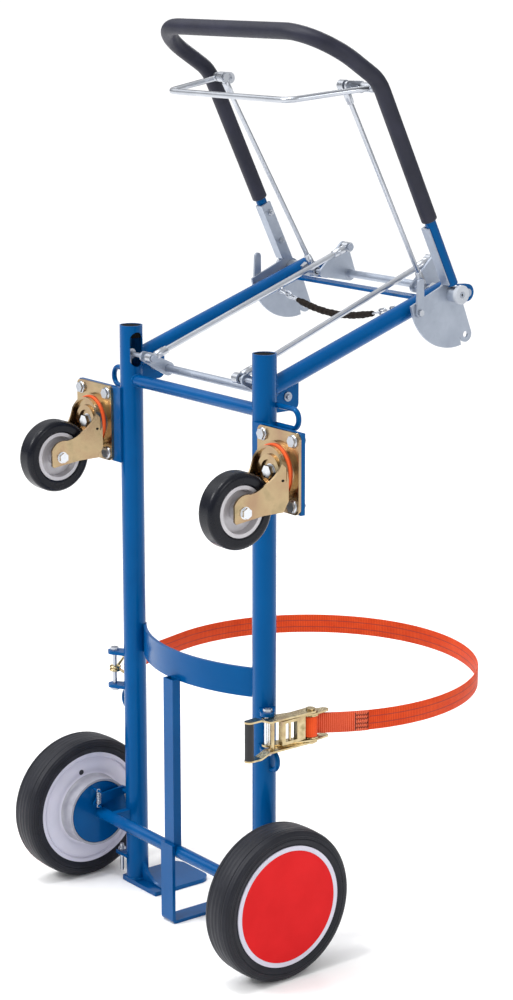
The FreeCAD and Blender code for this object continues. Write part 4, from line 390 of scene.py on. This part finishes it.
def webbing(name, patch=None):
    """Woven polyester: ribs across, a fine warp and two dark marker threads past the lap.

    A lap has a sewn patch, which is paler, and a painted highlight on each rib's crest; painted shade darkens the
    weave's low parts, lightly on the roll.
    """
    rib_pitch, warp_pitch, warp_share = 3.3 * MM, 1.2 * MM, 0.5
    marker_at, marker_half, marker_share = 6.2 * MM, 0.8 * MM, 0.65
    # Shares of the painted highlight on the lap's rib crest and of the painted shade in the weave, on the roll and
    # elsewhere.
    crest_highlight_share, roll_shade, strap_shade = 0.5, 0.15, 0.6
    finish = Finish(name, {"Sheen Weight": 0.05, "Sheen Roughness": 0.4,
                           "Specular IOR Level": 0.15})
    along, across, _ = finish.apart(finish.strip())
    rib, warp = finish.waves(along, rib_pitch), finish.waves(across, warp_pitch)
    weave = finish.spread(finish.sums("MULTIPLY_ADD", warp, warp_share, rib), 0.0, 1.0)
    cloth = finish.mottled(45, 4, (0.78, 0.066, 0.010), (0.90, 0.100, 0.018))
    if patch is None:
        past_roll = finish.sums("GREATER_THAN", along, ROLL_END)
        shade = finish.spread(past_roll, roll_shade, strap_shade)
    else:
        begin, end = patch
        sewn = finish.sums("COMPARE", along, (begin + end) / 2, (end - begin) / 2)
        cloth = finish.mix(sewn, cloth, (0.86, 0.150, 0.06))
        # Painted highlight: the crest of each rib on the lap is paler.
        crest_highlight = finish.sums("MULTIPLY", weave, crest_highlight_share)
        cloth = finish.mix(crest_highlight, cloth, (0.95, 0.330, 0.220))
        shade = strap_shade
    # Painted shade: the low parts of the weave are darkened, lightly on the roll and more past it.
    hollow_shade = finish.sums("MULTIPLY", finish.sums("SUBTRACT", 1.0, weave), shade)
    shaded = finish.mix(hollow_shade, cloth, (0.40, 0.025, 0.003))
    marker = finish.sums("COMPARE", finish.sums("ABSOLUTE", across), marker_at, marker_half)
    marker = finish.sums("MULTIPLY", marker, finish.sums("GREATER_THAN", along, LAP_END))
    marker = finish.sums("MULTIPLY", marker, marker_share)
    finish.colour(finish.mix(marker, shaded, (0.20, 0.035, 0.04)))
    finish.roughness(300, 2, 0.5, 0.7)
    finish.bump(weave, 0.2 * MM)
    return finish.material


def sleeve_fabric():
    """Dark woven sleeve."""
    finish = Finish("sleeve_fabric", {"Sheen Weight": 0.03, "Sheen Roughness": 0.5,
                                      "Specular IOR Level": 0.12})
    finish.colour(finish.mottled(160, 4, (0.006, 0.004, 0.003), (0.018, 0.012, 0.009)))
    finish.roughness(400, 2, 0.65, 0.85)
    finish.grain(900, 4, 0.3 * MM)
    return finish.material


FINISHES = {
    "blue_paint": blue_paint(),
    "bright_zinc": bright_zinc(),
    "grey_zinc": grey_zinc(),
    "yellow_zinc": yellow_zinc("yellow_zinc", STRAW, 40),
    "grey_iron": grey_iron(),
    "rim_metal": rim_metal(),
    "tyre_rubber": tyre_rubber(),
    "white_plastic": moulded("white_plastic", (0.42, 0.45, 0.50), (0.50, 0.53, 0.58)),
    "red_plastic": moulded("red_plastic", (0.63, 0.006, 0.008), (0.70, 0.010, 0.012),
                           rough=(0.40, 0.52), grain=900, shine=0.12),
    "orange_plastic": moulded("orange_plastic", (0.74, 0.085, 0.018), (0.88, 0.13, 0.03)),
    "black_plastic": moulded("black_plastic", (0.012, 0.012, 0.014), (0.022, 0.022, 0.025),
                             rough=(0.4, 0.6)),
    "grip_foam": grip_foam(),
    "webbing": webbing("webbing"),
    "sleeve_fabric": sleeve_fabric(),
}
# Finishes of single pieces that differ from the rest of their slot.
WHEEL_PLASTIC = wheel_plastic()
CASTOR_RUBBER = castor_rubber()
FORK_ZINC = yellow_zinc("fork_zinc", ROSE, 24, fork_bolts, fork_holes)
RATCHET_ZINC = yellow_zinc("ratchet_zinc", STRAW, 40, ratchet_bush)
SEWN_WEBBING = webbing("sewn_webbing", SEWN_PATCH)
PLUG_PLASTIC = moulded("plug_plastic", (0.003, 0.003, 0.003), (0.006, 0.006, 0.006),
                       rough=(0.7, 0.9), shine=0.05)
THREAD = moulded("thread", (0.05, 0.012, 0.012), (0.09, 0.020, 0.020),
                 rough=(0.6, 0.8), grain=900, shine=0.1)


def new_piece(name, mesh, slot, body=None, finish=None):
    """Put a mesh in the scene with the finish of its slot, or its own.

    It rides on a body, if one is given.
    """
    piece = bpy.data.objects.new(name, mesh)
    bpy.context.scene.collection.objects.link(piece)
    mesh.materials.append(finish or FINISHES[slot])
    for face in mesh.polygons:
        face.use_smooth = True
    if body is not None:
        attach(piece, body)
    return piece


def sweep(name, rings, level=0.0, endless=False):
    """Skin equal rings of points into one closed mesh.

    Its strip map holds the run along the rings and the height over a level.
    """
    mesh = bpy.data.meshes.new(name)
    shape = bmesh.new()
    strip = shape.loops.layers.uv.new("strip")
    rows = [[shape.verts.new(point) for point in ring] for ring in rings]
    count = len(rings[0])
    runs = [0.0]
    for one, two in zip(rings, rings[1:]):
        runs.append(runs[-1] + (sum(two, Vector()) - sum(one, Vector())).length / count)
    spans = list(zip(rows, rows[1:], runs, runs[1:]))
    if endless:
        spans.append((rows[-1], rows[0], runs[-1], runs[-1] + runs[1]))
    for near, far, begin, end in spans:
        for column in range(count):
            after = (column + 1) % count
            face = shape.faces.new((near[column], near[after], far[after], far[column]))
            for loop, along in zip(face.loops, (begin, begin, end, end)):
                loop[strip].uv = (along, loop.vert.co.z - level)
    if not endless:
        shape.faces.new(reversed(rows[0]))
        shape.faces.new(rows[-1])
    bmesh.ops.recalc_face_normals(shape, faces=shape.faces)
    shape.to_mesh(mesh)
    shape.free()
    return mesh


def as_one(name, parts):
    """Several meshes made into one."""
    shape = bmesh.new()
    for part in parts:
        shape.from_mesh(part)
        bpy.data.meshes.remove(part)
    mesh = bpy.data.meshes.new(name)
    shape.to_mesh(mesh)
    shape.free()
    return mesh


def to_side(point, side):
    """A point of the right half, mirrored for the left side, which is -1."""
    return Vector((side * point.x, point.y, point.z))


def full_turn(steps):
    """Angles evenly round a circle."""
    return [2 * math.pi * step / steps for step in range(steps)]


def round_rings(path, radii, sides):
    """Circles square to a path, turned along it without twist."""
    rings = []
    across = None
    turns = full_turn(sides)
    for index, point in enumerate(path):
        before = path[max(index - 1, 0)]
        after = path[min(index + 1, len(path) - 1)]
        way = (after - before).normalized()
        if across is None:
            across = way.orthogonal().normalized()
        across = (across - way * across.dot(way)).normalized()
        up = way.cross(across)
        rings.append([point + (across * math.cos(turn) + up * math.sin(turn)) * radii[index]
                      for turn in turns])
    return rings


def bead_rings(line, radii, sides):
    """Circles round a closed line, each set by the line's own middle."""
    middle = sum(line, Vector()) / len(line)
    rings = []
    turns = full_turn(sides)
    for index, point in enumerate(line):
        way = (line[(index + 1) % len(line)] - line[index - 1]).normalized()
        out = point - middle
        out = (out - way * out.dot(way)).normalized()
        up = way.cross(out)
        rings.append([point + (out * math.cos(turn) + up * math.sin(turn)) * radii[index]
                      for turn in turns])
    return rings


def evenly(path, step):
    """The same line with points no further apart than a step."""
    dense = [path[0]]
    for one, two in zip(path, path[1:]):
        count = max(1, math.ceil((two - one).length / step))
        dense += [one.lerp(two, index / count) for index in range(1, count + 1)]
    return dense


def rounded_path(points, bends, step):
    """Points along straight runs joined by arcs of the given radii."""
    path = [points[0]]
    for before, corner, after, bend in zip(points, points[1:], points[2:], bends):
        back = (before - corner).normalized()
        onward = (after - corner).normalized()
        turn = math.pi - back.angle(onward)
        centre = corner + (back + onward).normalized() * (bend / math.cos(turn / 2))
        start = corner + back * (bend * math.tan(turn / 2)) - centre
        axis = back.cross(onward).normalized()
        count = max(4, round(bend * turn / step))
        for index in range(count + 1):
            angle = turn * index / count
            path.append(centre + start * math.cos(angle) - axis.cross(start) * math.sin(angle))
    path.append(points[-1])
    return evenly(path, step)


def stretch(path, begin, end, step):
    """The part of a line between two distances along it, in small steps."""
    least = 1e-6
    kept = []
    run = 0.0
    for one, two in zip(path, path[1:]):
        span = (two - one).length
        if run + span > begin and run < end:
            kept += [one.lerp(two, max(0.0, (begin - run) / span)),
                     one.lerp(two, min(1.0, (end - run) / span))]
        run += span
    merged = kept[:1] + [point for before, point in zip(kept, kept[1:])
                         if (point - before).length > least]
    return evenly(merged, step)


def polar(centre, angle, distance):
    """A point in the side view at an angle in degrees, up from forward."""
    turn = math.radians(angle)
    return centre + Vector((0, math.cos(turn), math.sin(turn))) * distance


def make_grip():
    """Foam grip over the bent handle, with rolled ends."""
    tube_radius, radius, roll = 9.5 * MM, 13.5 * MM, 2 * MM
    foot_run, knee_run, corner_run, corner_angle = 142 * MM, 399 * MM, 146 * MM, 147.8
    knee_bend, corner_bend, step, sides = 70 * MM, 85 * MM, 6 * MM, 28
    leg_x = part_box("handle_tube")[1].x - tube_radius
    lean = math.degrees(math.atan2(SQUEEZE.z - PIVOT.z, SQUEEZE.y - PIVOT.y))
    leg = Vector((leg_x, 0, 0))
    foot = polar(PIVOT, lean, foot_run) + leg
    knee = polar(PIVOT, lean, knee_run) + leg
    corner = polar(knee, corner_angle, corner_run)
    right = [foot, knee, corner]
    left = [to_side(point, -1) for point in reversed(right)]
    path = rounded_path(right + left, (knee_bend, corner_bend, corner_bend, knee_bend), step)
    # Over the first and the last step, closer rings grow from the rolled end to the full radius.
    places, rolled = (0, 0.06, 0.18, 0.35), (1.0, 0.45, 0.12, 0.0)
    lead = [path[0].lerp(path[1], place) for place in places]
    trail = [path[-1].lerp(path[-2], place) for place in reversed(places)]
    path = lead + path[1:-1] + trail
    ends = [radius - roll * share for share in rolled]
    radii = ends + [radius] * (len(path) - 2 * len(ends)) + ends[::-1]
    mesh = sweep("grip_cover", round_rings(path, radii, sides))
    grip = new_piece("grip_cover", mesh, "grip_foam", "handle")
    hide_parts("foam_grip")


def spline_points(points):
    """Points along the smooth line that a row of control points gives."""
    data = bpy.data.curves.new("route", "CURVE")
    data.dimensions = "3D"
    data.resolution_u = 20
    spline = data.splines.new("NURBS")
    spline.points.add(len(points) - 1)
    for control, point in zip(spline.points, points):
        control.co = (*point, 1)
    spline.order_u = 3
    spline.use_endpoint_u = True
    route = bpy.data.objects.new("route", data)
    line = bpy.data.meshes.new_from_object(route)
    path = [vertex.co.copy() for vertex in line.vertices]
    bpy.data.meshes.remove(line)
    bpy.data.objects.remove(route)
    bpy.data.curves.remove(data)
    return path


def make_chain_sleeve():
    """Woven sleeve over the chain, gathered at both ends, which sags between the arms."""
    radius, sides = 6 * MM, 20
    gathered, gathered_points = 0.28, 10
    creased, fine_crease, coarse_crease, crease_shift = 0.05, 1.9 * MM, 4.3 * MM, 1
    right = [(0.102111, 0.3, 1.046142), (0.069435, 0.3, 1.039299), (0.034718, 0.3, 1.034884)]
    points = right + [(0, 0.3, 1.033412)] + [(-x, y, z) for x, y, z in reversed(right)]
    path = spline_points([Vector(point) for point in points])
    radii = []
    run = 0.0
    for index, point in enumerate(path):
        run += (point - path[max(index - 1, 0)]).length
        from_end = min(index, len(path) - 1 - index) / gathered_points
        gather = gathered * max(0.0, 1 - from_end) ** 2
        crease = (creased * math.sin(run / fine_crease)
                  + creased * math.sin(run / coarse_crease + crease_shift))
        radii.append(radius * (1 + crease - gather))
    mesh = sweep("sleeve_cover", round_rings(path, radii, sides))
    sleeve = new_piece("sleeve_cover", mesh, "sleeve_fabric", "frame")
    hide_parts("chain_sleeve")


def heading(angle):
    """The level direction at an angle from +X."""
    return Vector((math.cos(angle), math.sin(angle), 0))


def right_of(way):
    """The level direction to the right of a way."""
    return Vector((way.y, -way.x, 0))


def leaving_angle(one, two):
    """Where a strap that turns left round one circle (centre, radius) leaves it for the next."""
    way = two[0] - one[0]
    return math.atan2(way.y, way.x) - math.acos((one[1] - two[1]) / way.xy.length)


def arc_points(centre, radius, start, end, step):
    count = max(2, math.ceil(radius * abs(end - start) / step))
    turns = [start + (end - start) * index / count for index in range(count + 1)]
    return [centre + heading(turn) * radius for turn in turns]


def flat_rings(path, shift):
    """Cross-sections of flat webbing with round edges, moved outward from a level line."""
    half, thick = STRAP_WIDTH / 2, STRAP_THICK / 2
    # Shares of the thickness and heights, from the flat to the edge.
    quarter = ((1.0, half - 1.1 * MM), (0.7, half - 0.25 * MM), (0.0, half))
    upper = [(out * thick, up) for out, up in quarter]
    upper += [(-out, up) for out, up in reversed(upper[:-1])]
    section = upper + [(out, -up) for out, up in reversed(upper)]
    rings = []
    for index, point in enumerate(path):
        way = (path[min(index + 1, len(path) - 1)] - path[max(index - 1, 0)]).normalized()
        outward = right_of(way)
        rings.append([point + outward * (shift + out) + Vector((0, 0, up)) for out, up in section])
    return rings


def make_strap():
    """Webbing from the ratchet spindle round a wide loop to the wire hook, with a sewn lap."""
    roll, loop, eye = 11.7 * MM, 294.5 * MM, 4.0 * MM
    half_turns, eye_turn, hook_reach = 3, 1.2 * math.pi, 40 * MM
    loop_step, roll_step, eye_step, lap_step = 6 * MM, 2 * MM, 1 * MM, 2 * MM
    lap_from, lap_to, lap_gap = 9 * MM, 100 * MM, 0.05 * MM
    layer = STRAP_THICK + 0.3 * MM
    leave = leaving_angle((SPINDLE, -roll), (STRAP_CENTRE, loop))
    # Each half turn inward has its centre shifted by half a layer.
    wound = []
    centre, radius, angle = SPINDLE, roll, leave + math.pi
    for _ in range(half_turns):
        half_turn = arc_points(centre, radius, angle + math.pi, angle, roll_step)
        wound = half_turn[:-1 if wound else None] + wound
        angle += math.pi
        centre = centre + heading(angle) * (layer / 2)
        radius -= layer / 2
    bolt = to_side(STRAP_BOLT, -1)
    way = leaving_angle((STRAP_CENTRE, loop), (bolt, eye)) + math.pi / 2
    bar = bolt - heading(way) * hook_reach
    arrive = leaving_angle((STRAP_CENTRE, loop), (bar, eye))
    leave += 2 * math.pi * math.floor((arrive - leave) / (2 * math.pi))
    wide_loop = arc_points(STRAP_CENTRE, loop, leave, arrive, loop_step)
    back = arc_points(bar, eye, arrive, arrive + eye_turn, eye_step)
    free = evenly(wound[-1:] + wide_loop + back, loop_step)
    path = wound[:-1] + free
    band = sweep("strap_band", flat_rings(path, 0), SPINDLE.z)
    strap = new_piece("strap_band", band, "webbing", "frame")
    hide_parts("strap")

    lap_path = stretch(free, lap_from, lap_to, lap_step)
    lap_mesh = sweep("strap_lap", flat_rings(lap_path, STRAP_THICK + lap_gap), SPINDLE.z)
    lap = new_piece("strap_lap", lap_mesh, "webbing", "frame", SEWN_WEBBING)
    stitches = make_stitches(lap_path)


def make_stitches(lap_path):
    """Rows of zigzag thread through the sewn end of the lap, between two bars across it."""
    margin, lift, stitch, radius, sides = 1 * MM, 0.15 * MM, 2 * MM, 0.7 * MM, 6
    # Heights over the middle of the strap, in millimetres.
    rows, swing, bar = (-11, -4, 4, 11), 1.6, range(-15, 16, 3)
    sewn = stretch(lap_path, SEWN_PATCH[0] + margin, SEWN_PATCH[1] - margin, stitch)
    way = (sewn[-1] - sewn[0]).normalized()
    outward = right_of(way) * (1.5 * STRAP_THICK + lift)
    threads = [[point + outward + Vector((0, 0, up * MM)) for up in bar]
               for point in (sewn[0], sewn[-1])]
    for row in rows:
        zigzag = [(row + (swing if index % 2 else -swing)) * MM for index in range(len(sewn))]
        threads.append([point + outward + Vector((0, 0, up)) for point, up in zip(sewn, zigzag)])
    parts = [sweep("thread", round_rings(thread, [radius] * len(thread), sides))
             for thread in threads]
    mesh = as_one("strap_stitches", parts)
    return new_piece("strap_stitches", mesh, "webbing", "frame", THREAD)


def hook_points(axis, level, radius, first):
    """A spring's hook round a peg at a level of its axis, from a first angle in degrees."""
    steps, step_angle = 20, 14
    turns = [math.radians(first + step_angle * step) for step in range(steps + 1)]
    return [axis + Vector((0, radius * math.sin(turn), level + radius * math.cos(turn)))
            for turn in turns]


def make_brake_springs():
    """Return springs with a hook round each peg."""
    radius, wire, pitch, turns, sides = 3.8 * MM, 0.8 * MM, 3.2 * MM, 7, 8
    axis_x, axis_y = 215 * MM, -64.0 * MM
    low_peg, high_peg, hook = 149.0 * MM, 177.4 * MM, 3.0 * MM
    low_first, coil_first, high_first, quarter = -280, 90, 180, 0.25
    turn_steps = 20
    steps = turn_steps * turns
    for name, side in SIDES:
        axis = Vector((side * axis_x, axis_y, 0))
        path = hook_points(axis, low_peg, hook, low_first)
        for step in range(1, steps):
            share = step / steps
            angle = math.radians(coil_first + 360 * turns * share)
            # The first and the last quarter of a turn lead from the axis to the coils.
            from_end = min(share, 1 - share) * turns
            out = radius * (math.sin(2 * math.pi * from_end) if from_end < quarter else 1)
            path.append(axis + Vector((out * math.cos(angle), out * math.sin(angle),
                                       low_peg + hook + pitch * turns * share)))
        path += hook_points(axis, high_peg, hook, high_first)
        mesh = sweep(f"brake_spring_{name}", round_rings(path, [wire] * len(path), sides))
        spring = new_piece(f"brake_spring_{name}", mesh, "bright_zinc")
        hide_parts("brake_springs")
        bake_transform(spring)


def make_cap_screws():
    """Socket screws in the caps of the handle pivot."""
    sunk, socket_half, steps = 1.4 * MM, 2.3 * MM, 36
    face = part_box("pivot_caps")[1].x - sunk
    turns = full_turn(steps)
    # A hexagon repeats each sixth of a turn.
    socket = [socket_half / math.cos((turn + math.pi / 6) % (math.pi / 3) - math.pi / 6)
              for turn in turns]
    # Height over the face and radii, from the rim over the head to the floor of the socket.
    levels = ((0, [4.6 * MM] * steps), (0.8 * MM, [4.4 * MM] * steps),
              (1.1 * MM, [3.9 * MM] * steps), (1.1 * MM, socket), (-0.2 * MM, socket))
    for name, side in SIDES:
        rings = [[Vector((side * (face + out), PIVOT.y + radius * math.cos(turn),
                          PIVOT.z + radius * math.sin(turn)))
                  for turn, radius in zip(turns, radii)] for out, radii in levels]
        new_piece(f"cap_screw_{name}", sweep(f"cap_screw_{name}", rings), "grey_zinc", "frame")


def make_bolt_flanges():
    """Flanges with a toothed rim under the heads of the castor plates' bolts."""
    plate_face, bolts_across, bolts_up = -30 * MM, 39 * MM, 52.5 * MM
    teeth, peak, dip, bevel, collar = 20, 10.9 * MM, 10.1 * MM, 0.4 * MM, 8.3 * MM
    turns = full_turn(2 * teeth)
    toothed = [peak if index % 2 else dip for index in range(2 * teeth)]
    # Height over the plate and radii.
    levels = ((0, toothed), (1.3 * MM, toothed), (1.6 * MM, [radius - bevel for radius in toothed]),
              (3.4 * MM, [collar] * len(turns)))
    spots = [(across, up) for across in (-bolts_across, bolts_across)
             for up in (-bolts_up, bolts_up)]
    for name, side in SIDES:
        flanges = []
        for across, up in spots:
            middle = Vector((side * (CASTOR_SWIVEL.x + across), plate_face, CASTOR_SWIVEL.z + up))
            rings = [[middle + Vector((radius * math.cos(turn), -out, radius * math.sin(turn)))
                      for turn, radius in zip(turns, radii)] for out, radii in levels]
            flanges.append(sweep("flange", rings))
        title = f"castor_bolt_flanges_{name}"
        new_piece(title, as_one(title, flanges), "bright_zinc", "frame")


def make_rod_sockets():
    """Stepped sockets on both ends of the rods, round the solids' own plain ones."""
    eye, sides = 7 * MM, 24
    # Millimetres along the rod from the eye's middle, and out from the radius of the rod.
    steps = ((9.5, 1.6), (10.5, 2.3), (28.0, 2.3), (28.6, 1.8), (33.4, 1.8), (34.2, 1.2))
    # Rod, its radius, then the side of its box and the pin where its top and its foot lie.
    inner, outer = 0, 1
    rods = (("handle", 4 * MM, outer, joint_at("handle_rod_swing"), inner, PIVOT),
            ("long", 5 * MM, inner, joint_at("long_rod_swing"), outer, joint_at("brake_rod_swing")))
    for kind, radius, top_side, top, foot_side, foot in rods:
        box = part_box(f"{kind}_rod_right")
        reach = (box[0].x + eye, box[1].x - eye)
        for name, side in SIDES:
            upper = Vector((side * reach[top_side], top.y, top.z))
            lower = Vector((side * reach[foot_side], foot.y, foot.z))
            for end, start, way in (("top", upper, lower - upper), ("foot", lower, upper - lower)):
                path = [start + way.normalized() * (run * MM) for run, _ in steps]
                rings = round_rings(path, [radius + out * MM for _, out in steps], sides)
                title = f"{kind}_rod_{end}_socket_{name}"
                new_piece(title, sweep(title, rings), "bright_zinc", f"{kind}_rods")


def make_welds():
    """Rippled beads where the arms and the cross tube meet the uprights, and at the feet."""
    upright = Vector((187, 0, 0)) * MM
    outer, arm, cross = 20 * MM, 15 * MM, 11 * MM
    foot_level, arm_level, cross_level = 9.3 * MM, 958 * MM, 925 * MM
    slope = math.radians(19)
    bead_mm, ripple_mm, ripples = 2.1, 0.25, 16
    steps, sides = 96, 8
    turns = full_turn(steps)
    curves = {"foot": [], "arm": [], "cross": []}
    for turn in turns:
        across, up = math.cos(turn), math.sin(turn)
        curves["foot"].append(upright + Vector((outer * across, outer * up, foot_level)))
        ahead = math.sqrt(outer ** 2 - (arm * across) ** 2)
        reach = (ahead + arm * up * math.sin(slope)) / math.cos(slope)
        height = arm_level + reach * math.sin(slope) + arm * up * math.cos(slope)
        curves["arm"].append(upright + Vector((arm * across, ahead, height)))
        inset = math.sqrt(outer ** 2 - (cross * across) ** 2)
        curves["cross"].append(upright + Vector((-inset, cross * across, cross_level + cross * up)))
    radii = [(bead_mm + ripple_mm * math.sin(ripples * turn)) * MM for turn in turns]
    for kind, curve in curves.items():
        for name, side in SIDES:
            line = [to_side(point, side) for point in curve]
            bead = sweep(f"weld_{kind}_{name}", bead_rings(line, radii, sides), endless=True)
            new_piece(f"weld_{kind}_{name}", bead, "blue_paint", "frame")


def dress_nodes():
    """Give every node of the frame the finish of its slot, or its own."""
    slots = {part["node"]: part["material_slot"] for part in frame["record"]["subparts"]}
    own = {"hub_": WHEEL_PLASTIC, "castor_tyre_": CASTOR_RUBBER, "castor_fork_": FORK_ZINC,
           "castor_plates": FORK_ZINC, "ratchet_frame": RATCHET_ZINC, "tube_plugs": PLUG_PLASTIC}
    for name, thing in NODES.items():
        finish = next((finish for start, finish in own.items() if name.startswith(start)),
                      FINISHES[slots[name]])
        thing.data.materials.clear()
        thing.data.materials.append(finish)


def make_floor():
    """Pale floor, wide enough to reach the horizon."""
    bpy.ops.mesh.primitive_plane_add(size=600)
    floor = bpy.context.object
    floor.name = "floor"
    finish = Finish("floor", {"Specular IOR Level": 0.0})
    finish.colour(finish.mottled(0.4, 2, (0.93, 0.93, 0.93), (0.95, 0.95, 0.95)))
    finish.roughness(3, 2, 0.8, 0.9)
    floor.data.materials.append(finish.material)


def make_world():
    """Surround that darkens downward for the light and the reflections, and plain white to see."""
    dim, white, white_from, strength = (0.22, 0.23, 0.25, 1), (1, 1, 1, 1), 0.6, 0.8
    world = bpy.data.worlds.new("studio")
    bpy.context.scene.world = world
    world.use_nodes = True
    nodes, links = world.node_tree.nodes, world.node_tree.links
    height = nodes.new("ShaderNodeSeparateXYZ")
    links.new(nodes.new("ShaderNodeTexCoord").outputs["Generated"], height.inputs[0])
    shade = nodes.new("ShaderNodeValToRGB")
    links.new(height.outputs["Z"], shade.inputs["Fac"])
    low, high = shade.color_ramp.elements
    low.color = dim
    high.color = white
    high.position = white_from
    surround = nodes["Background"]
    links.new(shade.outputs["Color"], surround.inputs["Color"])
    surround.inputs["Strength"].default_value = strength
    plain = nodes.new("ShaderNodeBackground")
    plain.inputs["Color"].default_value = white
    choice = nodes.new("ShaderNodeMixShader")
    links.new(nodes.new("ShaderNodeLightPath").outputs["Is Camera Ray"], choice.inputs[0])
    links.new(surround.outputs[0], choice.inputs[1])
    links.new(plain.outputs[0], choice.inputs[2])
    links.new(choice.outputs[0], nodes["World Output"].inputs["Surface"])


def light_from(name, lamp, place):
    """Hang a lamp at a place, aimed at the middle of the object."""
    middle = Vector((0, 0.1, 0.8))
    light = bpy.data.objects.new(name, lamp)
    light.location = place
    light.rotation_euler = (middle - light.location).to_track_quat("-Z", "Y").to_euler()
    bpy.context.scene.collection.objects.link(light)


def make_lights():
    """A wide soft sky, which keeps the floor evenly pale, and four lamps."""
    sky = bpy.data.lights.new("sky", "SUN")
    sky.energy = 1.6
    sky.angle = math.radians(70)
    light_from("sky", sky, (-3.0, -4.0, 9.0))
    # Name, place, width in metres and power in watts.
    lamps = (("key", (-1.2, -3.6, 3.6), 0.9, 70), ("fill", (4.2, 0.6, 2.4), 1.2, 25),
             ("rim", (-2.0, 2.8, 2.8), 1.2, 30), ("glint", (0.4, -1.6, 4.6), 0.35, 45))
    for name, place, width, power in lamps:
        lamp = bpy.data.lights.new(name, "AREA")
        lamp.size = width
        lamp.energy = power
        light_from(name, lamp, place)


def make_camera():
    """Camera at the photograph's angle."""
    scene = bpy.context.scene
    scene.view_settings.view_transform = "Standard"
    camera = bpy.data.objects.new("camera", bpy.data.cameras.new("camera"))
    camera.location = (3.10194, -2.27073, 1.64521)
    azimuth, elevation = math.radians(52.279), math.radians(13.189)
    camera.rotation_euler = (math.pi / 2 - elevation, 0, azimuth)
    camera.data.lens = 84.26
    camera.data.clip_end = 1000
    scene.collection.objects.link(camera)
    scene.camera = camera


make_grip()
make_chain_sleeve()
make_strap()
make_brake_springs()
make_cap_screws()
make_bolt_flanges()
make_rod_sockets()
make_welds()
dress_nodes()
make_floor()
make_world()
make_lights()
make_camera()
